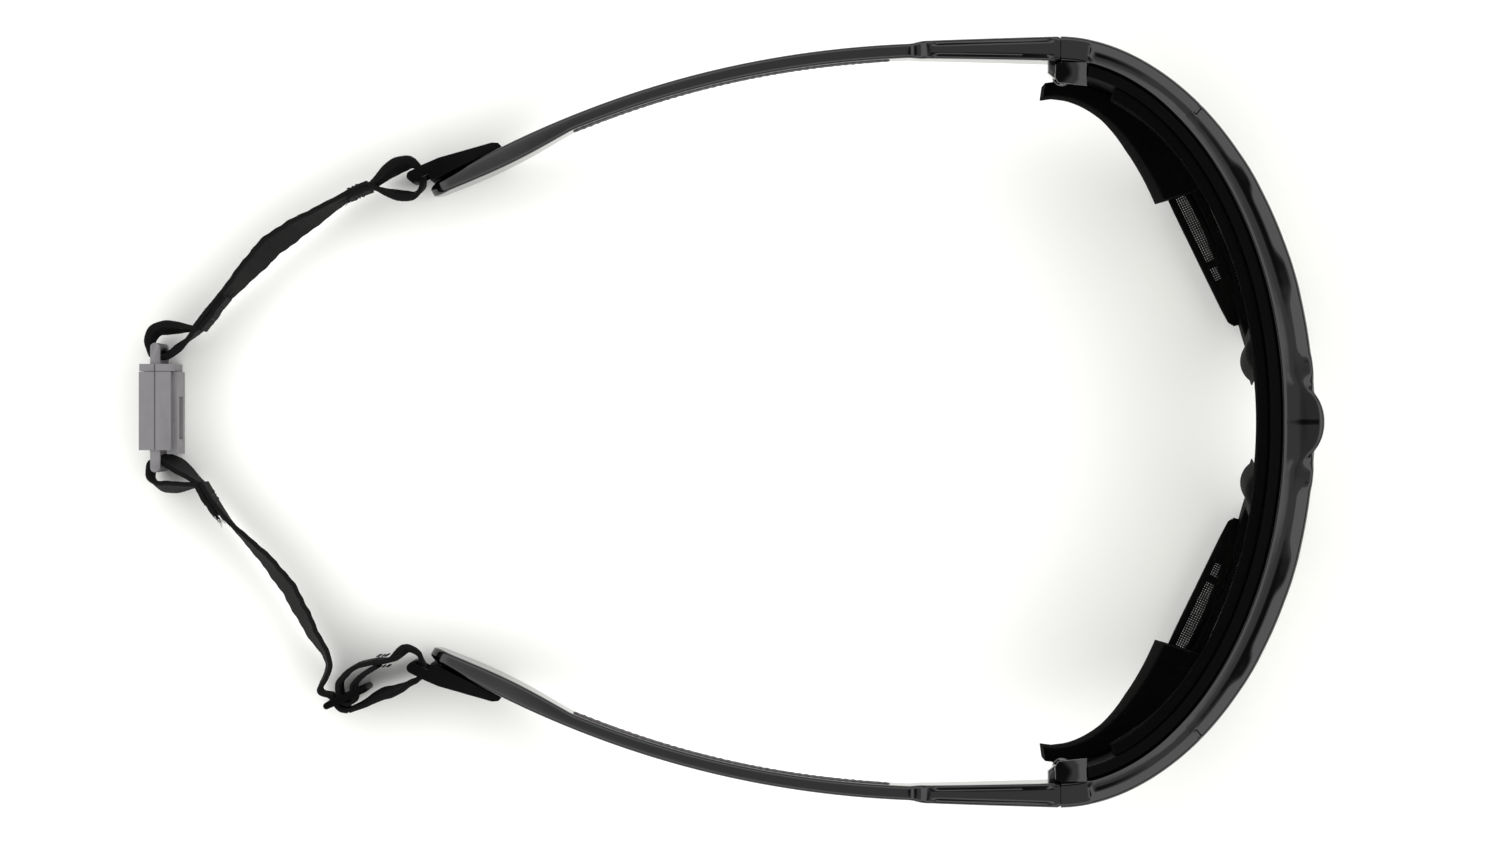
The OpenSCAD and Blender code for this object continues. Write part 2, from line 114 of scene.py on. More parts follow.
def grid_faces(rows: int, cols: int, first: int = 0) -> np.ndarray:
    """Quads of a grid whose columns close into a ring.

    Args:
        rows: sections along the piece.
        cols: points round each section.
        first: number of the grid's first point.

    Returns:
        Vertex numbers, shape ((rows - 1) * cols, 4).
    """
    r, c = np.meshgrid(np.arange(rows - 1), np.arange(cols), indexing="ij")
    n = (c + 1) % cols
    quads = np.stack([r * cols + c, r * cols + n, (r + 1) * cols + n, (r + 1) * cols + c], -1)
    return quads.reshape(-1, 4) + first


def sweep(sections: np.ndarray, first: int = 0) -> tuple[np.ndarray, list]:
    """Joins closed sections into a tube and closes both ends with a fan to the section's middle.

    Args:
        sections: points, shape (stations, points round, 3).
        first: number of the first point.

    Returns:
        The points, and the faces.
    """
    rows, cols = sections.shape[:2]
    ends = sections[[0, -1]].mean(1)
    verts = np.concatenate([sections.reshape(-1, 3), ends])
    faces = grid_faces(rows, cols, first).tolist()
    ring = np.arange(cols)
    turn = (ring + 1) % cols
    start, stop = first + rows * cols, first + rows * cols + 1
    last = first + (rows - 1) * cols
    faces += [[start, first + b, first + a] for a, b in zip(ring, turn)]
    faces += [[stop, last + a, last + b] for a, b in zip(ring, turn)]
    return verts, faces


def sweep_many(parts: Sequence[np.ndarray]) -> tuple[np.ndarray, list]:
    """Sweeps several sets of sections into one list of points and one of faces."""
    verts, faces, count = [], [], 0
    for sections in parts:
        v, f = sweep(sections, count)
        verts.append(v)
        faces += f
        count += len(v)
    return np.concatenate(verts), faces


def rounded_ring(per_corner: int = 5, per_side: int = 4) -> np.ndarray:
    """A ring of points for a rounded rectangle, worked out later for any size.

    Each row holds the sign of the corner in both directions, the cosine and sine on the
    corner's arc, and how far the point has gone along the straight side to the next corner.
    """
    rows = []
    signs = [(1, 1), (-1, 1), (-1, -1), (1, -1)]
    for k, (sx, sy) in enumerate(signs):
        for t in np.linspace(0, math.pi / 2, per_corner):
            a = k * math.pi / 2 + t
            rows.append((sx, sy, math.cos(a), math.sin(a), 0.0, sx, sy))
        nx, ny = signs[(k + 1) % 4]
        a = (k + 1) * math.pi / 2
        for t in np.linspace(0, 1, per_side + 2)[1:-1]:
            rows.append((sx, sy, math.cos(a), math.sin(a), t, nx, ny))
    return np.array(rows)


def rounded_rect(half_u: np.ndarray, half_v: np.ndarray, radius: np.ndarray, ring: np.ndarray) -> np.ndarray:
    """Points of a rounded rectangle at every station.

    A point is its corner's centre, moved along the side towards the next corner's centre, plus
    the corner radius times the direction on the arc.

    Returns:
        Pairs (u, v), shape (stations, points, 2).
    """
    hu, hv, r = (np.atleast_1d(x)[:, None] for x in (half_u, half_v, radius))
    sx, sy, c, s, t, nx, ny = ring.T
    u = (sx + (nx - sx) * t) * (hu - r) + r * c
    v = (sy + (ny - sy) * t) * (hv - r) + r * s
    return np.stack([u, v], -1)


def catmull(points: Sequence, per_span: int = 5) -> np.ndarray:
    """A smooth line through points: Catmull-Rom with the end points repeated."""
    p = np.asarray(points, float)
    q = np.concatenate([p[:1], p, p[-1:]])
    t = np.linspace(0, 1, per_span, endpoint=False)[None, :, None]
    a, b, c, d = (q[i:i + len(p) - 1][:, None, :] for i in range(4))
    line = 0.5 * (2 * b + (c - a) * t + (2 * a - 5 * b + 4 * c - d) * t**2 + (3 * b - a - 3 * c + d) * t**3)
    return np.concatenate([line.reshape(-1, p.shape[1]), p[-1:]])


def catmull_loop(points: Sequence, per_span: int = 6) -> np.ndarray:
    """A smooth closed line through points."""
    p = np.asarray(points, float)
    n = len(p)
    line = catmull(np.concatenate([p[-2:], p, p[:3]]), per_span)
    return line[2 * per_span:(n + 2) * per_span]


def resample(line: np.ndarray, spacing: float) -> tuple[np.ndarray, np.ndarray]:
    """Evenly spaced points on a line, and how far along the line each one lies."""
    step = np.linalg.norm(np.diff(line, axis=0), axis=1)
    along = np.concatenate([[0], np.cumsum(step)])
    keep = np.concatenate([[True], step > 1e-9])
    s = np.linspace(0, along[-1], max(3, round(along[-1] / spacing) + 1))
    return np.stack([np.interp(s, along[keep], line[keep, k]) for k in range(line.shape[1])], -1), s


def relaxed(line: np.ndarray, reach: float) -> np.ndarray:
    """A line with its corners eased over a reach in millimetres; its ends stay in place."""
    even, _ = resample(line, 0.3)
    half = round(reach / 0.3)
    weight = np.hanning(2 * half + 3)[1:-1]
    weight /= weight.sum()
    padded = np.concatenate([2 * even[0] - even[half:0:-1], even, 2 * even[-1] - even[-2:-half - 2:-1]])
    return np.stack([np.convolve(padded[:, k], weight, "valid") for k in range(2)], -1)


def side_normals(line: np.ndarray) -> np.ndarray:
    """Unit vectors to the right of a line seen from above."""
    d = np.gradient(line, axis=0)
    d /= np.linalg.norm(d, axis=1, keepdims=True)
    return np.stack([d[:, 1], -d[:, 0]], -1)


def bump(x: np.ndarray, middle: float, half: float) -> np.ndarray:
    """A smooth hill of height 1 with a flat top, about 2 * half wide."""
    return np.exp(-((x - middle) / half) ** 4)


def ease(x: np.ndarray, start: float, end: float) -> np.ndarray:
    """Goes smoothly from 0 at start to 1 at end."""
    t = np.clip((x - start) / (end - start), 0, 1)
    return t * t * (3 - 2 * t)


def mirrored(sections: np.ndarray, side: int) -> np.ndarray:
    """The left-hand points, mirrored across the middle plane for the right-hand side."""
    return sections * (side, 1, 1)


def prism(outline: np.ndarray, low: float, high: float, edge: float) -> np.ndarray:
    """Sections of an upright block with an outline seen from above and chamfered rims."""
    middle = outline.mean(0)
    reach = np.linalg.norm(outline - middle, axis=1).mean()
    inset = middle + (outline - middle) * (1 - edge / reach)
    levels = [(inset, low), (outline, low + edge), (outline, high - edge), (inset, high)]
    return np.stack([np.column_stack([p, np.full(len(p), z)]) for p, z in levels])


def softened_copy(node: str, name: str, radius: float, segments: int = 3) -> bpy.types.Object:
    """A copy of a designed piece whose edges are rounded the way a mould rounds them.

    Args:
        node: the designed piece.
        name: the copy's name.
        radius: radius of the rounded edges, in millimetres.
        segments: steps across each rounded edge.

    Returns:
        The copy, with the rounding applied to its mesh.
    """
    mesh = bpy.data.objects[node].data.copy()
    work = bmesh.new()
    work.from_mesh(mesh)
    bmesh.ops.remove_doubles(work, verts=work.verts, dist=2e-6)
    bmesh.ops.dissolve_limit(work, angle_limit=math.radians(1.5), verts=work.verts, edges=work.edges)
    work.to_mesh(mesh)
    work.free()
    mesh.name = name
    piece = bpy.data.objects.new(name, mesh)
    bpy.context.scene.collection.objects.link(piece)
    rounding = piece.modifiers.new("edges", "BEVEL")
    rounding.width = radius * MM
    rounding.segments = segments
    rounding.limit_method = "ANGLE"
    rounding.angle_limit = math.radians(35)
    rounding.use_clamp_overlap = True
    shape = bpy.context.evaluated_depsgraph_get()
    shape.update()
    final = bpy.data.meshes.new_from_object(piece.evaluated_get(shape))
    piece.modifiers.clear()
    piece.data = final
    final.shade_smooth()
    final.set_sharp_from_angle(angle=math.radians(38))
    return piece


# ---------------------------------------------------------------------------------------------
# Finishes
# ---------------------------------------------------------------------------------------------

class Pattern(Enum):
    """How a surface was made, which decides its relief."""

    MOULDED = "polished steel mould: long soft waves and a trace of dust"
    ERODED = "spark-eroded mould: an even fine grain"
    FOAMED = "closed-cell foam: open pores on the cut face"
    WOVEN = "narrow webbing: warp and weft"
    TWISTED = "twisted sewing thread"
    CLEAR = "moulded clear lens"
    TURNED = "turned steel"


@dataclass(frozen=True)
class Finish:
    """One material: what it is, and how its surface was made.

    Colours are sRGB hex values. grain is the size of the relief in millimetres and relief its
    depth in millimetres.
    """

    name: str
    slot: str
    pattern: Pattern
    colour: str
    second: str
    roughness: float
    ior: float = 1.5
    grain: float = 1.0
    relief: float = 0.01
    metallic: float = 0.0
    coat: float = 0.0
    sheen: float = 0.0
    transmission: float = 0.0
    specular: float = 0.5


# Injection-moulded polycarbonate, piano black: deep and wet, with soft waves in its reflections.
BLACK_GLOSS = Finish("black_polycarbonate_gloss", "frame_gloss", Pattern.MOULDED, "#040405", "#09090a",
                     0.09, ior=1.585, grain=7.0, relief=0.012, coat=0.05, specular=0.38)
# The same plastic from an eroded mould: dull, slightly warm black.
CARRIER_MATTE = Finish("black_nylon_eroded", "carrier_matte", Pattern.ERODED, "#040404", "#090808",
                       0.6, ior=1.53, grain=0.35, relief=0.012, specular=0.025)
# Cross-linked polyethylene foam, cut from a sheet: dead matte with fine pores, painted darker in their pits
# as painted shade.
FOAM = Finish("polyethylene_foam_cut", "foam", Pattern.FOAMED, "#040404", "#0b0a0a",
              0.95, ior=1.5, grain=0.5, relief=0.06, specular=0.02)
# Soft injection-moulded elastomer of the nose pads.
NOSE_RUBBER = Finish("thermoplastic_rubber_black", "nose_rubber", Pattern.ERODED, "#030303", "#070707",
                     0.6, ior=1.5, grain=0.25, relief=0.008, specular=0.04)
# Overmoulded elastomer liner, grey with a little purple.
LINER = Finish("thermoplastic_rubber_grey", "liner_rubber", Pattern.ERODED, "#302b31", "#3d383f",
               0.7, ior=1.5, grain=0.3, relief=0.01, specular=0.25)
# Acetal clips and slider: satin black with a tight grain.
CLIP_BLACK = Finish("black_acetal_satin", "clip_black", Pattern.ERODED, "#030303", "#070707",
                    0.42, ior=1.48, grain=0.3, relief=0.008, specular=0.05)
# Polyester webbing, plain weave, dyed black; the pitch is drawn at 0.9 mm.
WEBBING = Finish("polyester_webbing_black", "webbing", Pattern.WOVEN, "#0d0c0c", "#1c1b1b",
                 0.9, ior=1.5, grain=0.9, relief=0.09, sheen=0.02, specular=0.1)
# Bonded sewing thread, a shade lighter than the webbing.
THREAD = Finish("polyester_thread_black", "thread", Pattern.TWISTED, "#1a1919", "#272525",
                0.75, ior=1.5, grain=0.3, relief=0.03, sheen=0.05, specular=0.15)
# Acetal buckle, mid grey, from a spark-eroded mould: soft even grain, with a painted highlight on its convex
# edges.
BUCKLE_GREY = Finish("grey_acetal_eroded", "buckle_grey", Pattern.ERODED, "#5e5c5e", "#747274",
                     0.48, ior=1.48, grain=0.3, relief=0.015)
# Clear polycarbonate with a hard coat; thick edges look yellow-green.
LENS_CLEAR = Finish("clear_polycarbonate_coated", "lens_clear", Pattern.CLEAR, "#f1f4e3", "#f1f4e3",
                    0.03, ior=1.585, grain=30.0, relief=0.004, coat=0.4, transmission=1.0)
# Dark grey wire mesh in the vent slots, standing for the shadowed floor seen through them: painted shade.
VENT_SLOT_SHADE = Finish("vent_slot_painted_shade_grey", "carrier_matte", Pattern.ERODED, "#1c1b1a", "#262524",
                   0.7, ior=1.5, grain=0.3, relief=0.008, specular=0.25)
# Turned steel of the hinge screws, blackened.
SCREW_STEEL = Finish("blackened_steel_turned", "screw_steel", Pattern.TURNED, "#2a2a2b", "#3c3b3b",
                     0.38, grain=0.12, relief=0.006, metallic=1.0)


# Sizes of the dust specks on gloss plastic and of the fibres in thread and webbing, in millimetres.
DUST = 0.6
FIBRE = 0.15


def linear(code: str) -> tuple[float, float, float, float]:
    """Turns an sRGB hex value into linear red, green, blue and alpha."""
    parts = np.array([int(code[i:i + 2], 16) for i in (1, 3, 5)]) / 255
    values = np.where(parts <= 0.04045, parts / 12.92, ((parts + 0.055) / 1.055) ** 2.4)
    return (*values.tolist(), 1.0)


def add_node(tree: bpy.types.NodeTree, kind: str, inputs: dict | None = None,
             **settings: Any) -> bpy.types.Node:
    """Adds one node, with its settings, and gives each input a value or a link.

    Args:
        tree: the material's node tree.
        kind: the node's type.
        inputs: for each input's name or number, a value or another node's output.
        settings: the node's own properties.

    Returns:
        The node.
    """
    node = tree.nodes.new(kind)
    for key, value in settings.items():
        setattr(node, key, value)
    for key, value in (inputs or {}).items():
        if isinstance(value, bpy.types.NodeSocket):
            tree.links.new(value, node.inputs[key])
        else:
            node.inputs[key].default_value = value
    return node


def combined(tree: bpy.types.NodeTree, operation: str, first: Any, second: Any,
             use_clamp: bool = False) -> bpy.types.NodeSocket:
    """Adds a Math node with two inputs and returns its output."""
    node = add_node(tree, "ShaderNodeMath", {0: first, 1: second}, operation=operation, use_clamp=use_clamp)
    return node.outputs[0]


class Paint:
    """Makes each finish into a material, once, and puts it on pieces."""

    def __init__(self) -> None:
        """Starts with no materials."""
        self.made: dict[str, bpy.types.Material] = {}

    def dress(self, piece: bpy.types.Object, finish: Finish) -> None:
        """Gives a piece its material."""
        if finish.name not in self.made:
            self.made[finish.name] = self.material(finish)
        piece.data.materials.clear()
        piece.data.materials.append(self.made[finish.name])

    def material(self, finish: Finish) -> bpy.types.Material:
        """Builds the node tree: a height for the relief, a tone that follows it, and the shader."""
        material = bpy.data.materials.new(finish.name)
        material.use_nodes = True
        tree = material.node_tree
        tree.nodes.clear()
        height, tone = self.relief(tree, finish)
        mix = add_node(tree, "ShaderNodeMix", {
            "Factor": tone, 6: linear(finish.colour), 7: linear(finish.second)}, data_type="RGBA")
        rough = add_node(tree, "ShaderNodeMapRange", {
            "Value": tone, "To Min": max(0.02, finish.roughness - 0.04),
            "To Max": min(1.0, finish.roughness + 0.06)})
        lift = add_node(tree, "ShaderNodeBump", {
            "Height": height, "Distance": finish.relief * MM, "Strength": 1.0})
        shader = add_node(tree, "ShaderNodeBsdfPrincipled", {
            "Base Color": mix.outputs[2], "Roughness": rough.outputs[0], "Normal": lift.outputs[0],
            "IOR": finish.ior, "Metallic": finish.metallic, "Coat Weight": finish.coat,
            "Specular IOR Level": finish.specular, "Coat Roughness": 0.04,
            "Sheen Weight": finish.sheen, "Sheen Roughness": 0.5,
            "Transmission Weight": finish.transmission})
        add_node(tree, "ShaderNodeOutputMaterial", {"Surface": shader.outputs[0]})
        return material

    def relief(self, tree: bpy.types.NodeTree, finish: Finish) -> tuple[Any, Any]:
        """The relief's height and the tone that goes with it, both from 0 to 1. In foam and weave the tone
        is painted shade in the low places; on eroded finishes it adds a painted highlight on convex edges.

        Scales are 1 / grain size: Object coordinates are metres, the cloth map is millimetres.
        """
        place = add_node(tree, "ShaderNodeTexCoord")
        spot = place.outputs["Object"]
        per_metre = 1 / (finish.grain * MM)
        if finish.pattern in (Pattern.WOVEN, Pattern.TWISTED):
            return self.weave(tree, finish, place)
        if finish.pattern is Pattern.FOAMED:
            pores = add_node(tree, "ShaderNodeTexVoronoi", {"Vector": spot, "Scale": per_metre})
            clouds = add_node(tree, "ShaderNodeTexNoise", {
                "Vector": spot, "Scale": per_metre / 8, "Detail": 3.0})
            # The pits of the pores are painted darker than the foam round them: painted shade, mottled by
            # the clouds.
            depth = pores.outputs["Distance"]
            return depth, combined(tree, "MULTIPLY", depth, clouds.outputs[0])
        fine = add_node(tree, "ShaderNodeTexNoise", {
            "Vector": spot, "Scale": per_metre, "Detail": 3.0, "Roughness": 0.6})
        if finish.pattern is Pattern.ERODED:
            wide = add_node(tree, "ShaderNodeTexNoise", {
                "Vector": spot, "Scale": per_metre / 9, "Detail": 2.0})
            # Convex edges are painted paler: a painted highlight where the rounded edges catch the light.
            shape = add_node(tree, "ShaderNodeNewGeometry")
            painted_edge_highlight = add_node(tree, "ShaderNodeMapRange", {
                "Value": shape.outputs["Pointiness"], "From Min": 0.52, "From Max": 0.62, "To Max": 0.7})
            tone = combined(tree, "MULTIPLY", fine.outputs[0], wide.outputs[0])
            return fine.outputs[0], combined(tree, "ADD", tone, painted_edge_highlight.outputs[0], use_clamp=True)
        dust = add_node(tree, "ShaderNodeTexNoise", {
            "Vector": spot, "Scale": 1 / (DUST * MM), "Detail": 4.0, "Roughness": 0.7})
        specks = add_node(tree, "ShaderNodeMapRange", {
            "Value": dust.outputs[0], "From Min": 0.62, "From Max": 0.8})
        return fine.outputs[0], specks.outputs[0]

    def weave(self, tree: bpy.types.NodeTree, finish: Finish, place: bpy.types.Node) -> tuple[Any, Any]:
        """Plain weave: the product of two sine waves, one along and one across, over the cloth map; the tone
        follows the height, so the low places are painted darker as painted shade.
        """
        parts = add_node(tree, "ShaderNodeSeparateXYZ", {0: place.outputs["UV"]})
        waves = []
        for axis in (0, 1):
            turn = combined(tree, "MULTIPLY", parts.outputs[axis], 2 * math.pi / finish.grain)
            waves.append(add_node(tree, "ShaderNodeMath", {0: turn}, operation="SINE").outputs[0])
        cross = combined(tree, "MULTIPLY", *waves)
        height = add_node(tree, "ShaderNodeMapRange", {"Value": cross, "From Min": -1.0})
        fibres = add_node(tree, "ShaderNodeTexNoise", {
            "Vector": place.outputs["Object"], "Scale": 1 / (FIBRE * MM), "Detail": 2.0})
        # Painted shade: the low places of the weave are painted darker, broken up by the fibres.
        tone = combined(tree, "MULTIPLY", height.outputs[0], fibres.outputs[0])
        return height.outputs[0], tone


# ---------------------------------------------------------------------------------------------
# Camera, light and floor
# ---------------------------------------------------------------------------------------------

@dataclass
class Studio:
    """A camera straight above, a bright ring of light round it, and a white table.

    The sky's strength depends only on the angle from the zenith: steps pairs that angle, in
    degrees, with a strength. Flat faces mirror the dim zenith, sloping ones the ring.
    """

    height: float = 0.85
    aim_y: float = -0.00585
    focal: float = 96.8
    sensor: float = 36.0
    steps: tuple = ((0, 0.05), (9, 0.07), (19, 0.8), (29, 0.8), (36, 2.0), (66, 2.0), (74, 0.2), (90, 0.1))
    floor_half: float = 3.0

    def build(self) -> None:
        """Places the camera, the lights and the floor, and sets a plain view transform."""
        scene = bpy.context.scene
        lens = bpy.data.cameras.new("camera")
        lens.lens = self.focal
        lens.sensor_width = self.sensor
        camera = bpy.data.objects.new("camera", lens)
        camera.location = (0, self.aim_y, self.height)
        camera.rotation_euler = (0, 0, -math.pi / 2)
        scene.collection.objects.link(camera)
        scene.camera = camera
        self.world()
        self.floor()
        scene.view_settings.view_transform = "Standard"
        scene.view_settings.look = "None"

    def world(self) -> None:
        """The sky: a colour ramp over the upward part of the direction, cos(angle from zenith)."""
        world = bpy.data.worlds.new("sky")
        world.use_nodes = True
        tree = world.node_tree
        tree.nodes.clear()
        way = add_node(tree, "ShaderNodeTexCoord")
        parts = add_node(tree, "ShaderNodeSeparateXYZ", {0: way.outputs["Generated"]})
        ramp = add_node(tree, "ShaderNodeValToRGB", {0: parts.outputs[2]})
        brightest = max(strength for _, strength in self.steps)
        stops = ramp.color_ramp.elements
        while len(stops) < len(self.steps):
            stops.new(0.5)
        for stop, (angle, strength) in zip(stops, reversed(self.steps)):
            stop.position = math.cos(math.radians(angle))
            stop.color = (*[strength / brightest] * 3, 1.0)
        glow = add_node(tree, "ShaderNodeBackground", {"Color": ramp.outputs[0], "Strength": brightest})
        add_node(tree, "ShaderNodeOutputWorld", {"Surface": glow.outputs[0]})
        bpy.context.scene.world = world

    def floor(self) -> None:
        """A plain white table top just under the object."""
        mesh = bpy.data.meshes.new("table_top")
        h = self.floor_half
        low = -0.0001
        mesh.from_pydata([(-h, -h, low), (h, -h, low), (h, h, low), (-h, h, low)], [], [(0, 1, 2, 3)])
        table = bpy.data.objects.new("table_top", mesh)
        bpy.context.scene.collection.objects.link(table)
        material = bpy.data.materials.new("white_table")
        material.use_nodes = True
        shader = material.node_tree.nodes["Principled BSDF"]
        shader.inputs["Base Color"].default_value = linear("#fbfbf8")
        shader.inputs["Roughness"].default_value = 0.9
        shader.inputs["Specular IOR Level"].default_value = 0.1
        mesh.materials.append(material)


# ---------------------------------------------------------------------------------------------
# Front
# ---------------------------------------------------------------------------------------------

BROW_LINE = [(0, 40.5), (12, 42), (28, 44.4), (46, 45), (62, 43.4), (72, 40.6), (82, 37.8)]
CHEEK_LINE = [(82, 27.6), (75, 24.5), (69, 17), (60, 8), (47, 2), (32, 0), (20, 2.6), (13.5, 9.5), (10, 17),
              (6, 23.5), (0, 26)]
EYE_LINE = [(10.5, 31), (18, 37), (32, 39.4), (48, 39.6), (60, 37), (65.5, 30), (63.5, 20.5), (56, 11.6),
            (44, 6.2), (31, 4.6), (22, 7.4), (16.5, 14.5), (12.6, 23)]
# The lower edge of the brow moulding: the top of the eye opening, then the side and the bridge.
UNDER_BROW = [(0, 26), (6, 24.5), (9, 26.5), (12, 31.5), (18, 36.4), (32, 38.8), (48, 39), (60, 36.4),
              (65, 31.5), (69, 27), (75, 25.5), (82, 27.6)]
EYE_MIDDLE = np.array([38.0, 22.0])
# The small cover over the hinge, seen from above.
HINGE_COVER = np.array([(67.6, -5.2), (72.4, -5.2), (72.4, -0.2), (72.0, 1.2), (69.2, 1.3), (68.2, 0.7)])
# The straight edge of the vent plate, and where each slot starts and ends along it from its middle.
VENT_EDGE = np.array([[20.8, -37.6], [49.5, -23.6]])
VENT_SLOTS = [(-7.2, -4.0), (-2.8, 13.8)]
# How far the dark mesh of painted shade reaches back from that edge, and the distance between its wires.
VENT_DEPTH = (1.3, 4.1)
VENT_PITCH = 0.5


@dataclass
class Wrap:
    """The curve of the front seen from above, a superellipse, at any depth into the plastic.

    A point at angle a is (half_w cos(a)^(2/n), -depth sin(a)^(2/n)); the inner curve has its own
    half width and depth, and share goes from 0 on the outer curve to 1 on the inner one.
    """

    outer: tuple[float, float]
    inner: tuple[float, float]
    power: float = 1.9

    def at(self, angle: np.ndarray, share: np.ndarray) -> tuple[np.ndarray, np.ndarray]:
        """X and Y of points at an angle and a share of the depth."""
        e = 2 / self.power
        w = self.outer[0] + (self.inner[0] - self.outer[0]) * share
        d = self.outer[1] + (self.inner[1] - self.outer[1]) * share
        c, s = np.cos(angle), np.clip(np.sin(angle), 0, 1)
        return w * np.sign(c) * np.abs(c) ** e, -d * s**e

    def angle(self, x: np.ndarray) -> np.ndarray:
        """The angle at which the outer curve has this X."""
        return np.arccos(np.sign(x) * np.clip(np.abs(x) / self.outer[0], 0, 1) ** (self.power / 2))

    def thickness(self, angle: np.ndarray) -> np.ndarray:
        """Distance between the outer and the inner curve."""
        x0, y0 = self.at(angle, np.zeros_like(angle))
        x1, y1 = self.at(angle, np.ones_like(angle))
        return np.hypot(x1 - x0, y1 - y0)


def level(line: Sequence, x: np.ndarray) -> np.ndarray:
    """Height of an outline at distance x from the middle plane."""
    smooth = catmull(line)
    order = np.argsort(smooth[:, 0])
    return np.interp(np.abs(x), smooth[order, 0], smooth[order, 1])


def radius_at(line: np.ndarray, angle: np.ndarray) -> np.ndarray:
    """Distance from the middle of the eye to an outline, at each angle from 90 to 450 degrees."""
    d = line - EYE_MIDDLE
    a = np.degrees(np.arctan2(d[:, 1], d[:, 0]))
    a = np.where(a < 90, a + 360, a)
    order = np.argsort(a)
    return np.interp(angle, a[order], np.hypot(*d.T)[order])


@dataclass
class Front:
    """The front of the glasses: moulding, lenses, gasket carrier, foam and nose pads."""

    paint: Paint
    shell: Wrap = field(default_factory=lambda: Wrap((77.7, 51.0), (72.5, 44.4)))
    carrier: Wrap = field(default_factory=lambda: Wrap((72.4, 44.3), (70.1, 42.0)))
    brow_foam: Wrap = field(default_factory=lambda: Wrap((70.0, 41.9), (67.7, 39.8)))
    lens: Wrap = field(default_factory=lambda: Wrap((76.1, 49.4), (73.9, 47.2)))
    facet_tilt: float = 22.0
    corner: float = 0.75
    bridge_r: float = 9.0
    seam_x: float = 63.5
    pin: tuple[float, float] = (70.3, -0.8)
    knuckle_r: float = 2.0
    knuckle_z: tuple[float, ...] = (28.2, 31.2, 34.8, 37.8)

    def build(self) -> None:
        """Builds every piece that stays with the front."""
        self.moulding()
        self.gasket_carrier()
        self.foam()
        for side in SIDES:
            self.one_lens(side)
            self.nose_pad(side)
            self.vent_plate(side)
            screw = softened_copy(f"hinge_screw_{side}", f"screw_{side}", 0.12, 2)
            self.finish(screw, SCREW_STEEL, f"hinge_screw_{side}")

    def finish(self, piece: bpy.types.Object, finish: Finish, node: str) -> None:
        """Dresses a piece, lets it stand for its node and fixes it to the front."""
        self.paint.dress(piece, finish)
        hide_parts(node)
        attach(piece, "front")
        LOG.info("%s: %d faces", piece.name, len(piece.data.polygons))

    def moulding(self) -> None:
        """The gloss front: a sculpted brow bar from hinge to hinge and a lower rim under each eye."""
        parts = [self.brow_bar()]
        for side in SIDES.values():
            parts.append(self.lower_rim(self.shell, side, 0.0, 0.06, 0.94, 168, 372))
            for k in (0, 2):
                parts.append(mirrored(self.knuckle(k), side))
            parts.append(mirrored(prism(HINGE_COVER, 38.6, 39.3, 0.2), side))
        piece = make_object("front_moulding", *sweep_many(parts))
        self.finish(piece, BLACK_GLOSS, "frame_front")

    def brow_bar(self) -> np.ndarray:
        """Sections of the brow bar, a station every degree or so and closer at the seam.

        Across the thickness, q goes from 0 outside to 1 inside. The outer facet falls outwards
        from the crease, which wanders along the bar; the ridge facet falls inwards behind it.
        """
        even = np.linspace(0, math.pi, 261)
        seam = self.shell.angle(self.seam_x + np.linspace(-0.9, 0.9, 13))
        a = np.unique(np.concatenate([even, seam, math.pi - seam]))[:, None]
        x = self.shell.at(a, 0 * a)[0]
        ax = np.abs(x)
        top, low = level(BROW_LINE, x), level(UNDER_BROW, x)
        t = self.shell.thickness(a)
        q = 0.5 - 0.5 * np.cos(np.linspace(0, math.pi, 33))[None, :]
        crease = (0.44 - 0.2 * bump(ax, 50.2, 3.2) - 0.2 * bump(ax, 30, 4.6) - 0.42 * bump(ax, 11, 2.4)
                  - 0.22 * (1 - ease(ax, 4.5, 8)))
        tilt = math.tan(math.radians(self.facet_tilt))
        fall = np.clip(crease - q, 0, None) * t * tilt
        # The ridge facet starts at share 0.63, and 0.04 of the thickness rounds its crease.
        fall = fall + math.tan(math.radians(19)) * t * 0.04 * np.logaddexp(0, (q - 0.63) / 0.04)
        fall = fall + 0.3 * np.exp(-((ax - self.seam_x) / 0.3) ** 2) * (q < 0.45)
        # The end piece beside the temple leans outwards like the temple's block.
        from_joint = -self.shell.at(a, 0 * a)[1]
        end_piece = 1 - ease(from_joint, 6.0, 6.6)
        fall = fall * (1 - end_piece) + end_piece * (1 - q) * t * 0.17
        fall = fall + 0.25 * np.exp(-((from_joint - 6.3) / 0.35) ** 2)
        edge = np.minimum(q, 1 - q) * t
        fall = fall + self.corner * (1 - np.sqrt(1 - np.clip(1 - edge / self.corner, 0, 1) ** 2))
        roof = top - fall
        wall_q = np.linspace(0, 1, 7)[None, 1:-1]
        inner = roof[:, -1:] + (low - roof[:, -1:]) * wall_q
        outer = low + (roof[:, :1] - low) * wall_q
        floor_q = np.linspace(1, 0, 7)[None, :]
        floor_z = low + 0.35 * (np.abs(2 * floor_q - 1) ** 6)
        shares = np.concatenate([q, 0 * wall_q + 1, floor_q, 0 * wall_q], 1)
        heights = np.concatenate([roof, inner, floor_z, outer], 1)
        px, py = self.shell.at(a, shares)
        # The bump over the nose: the outside follows a circle where that stands further out.
        out = np.sqrt(np.clip(self.bridge_r**2 - px**2, 0, None))
        nose = -(self.shell.outer[1] + 1.9 - self.bridge_r) - out
        gap = np.clip(py - nose, 0, None) * (np.abs(px) < self.bridge_r)
        soft = gap * ease(gap, 0, 0.6) * (1 - shares) ** 1.5
        return np.stack([px, py - soft, heights], -1)

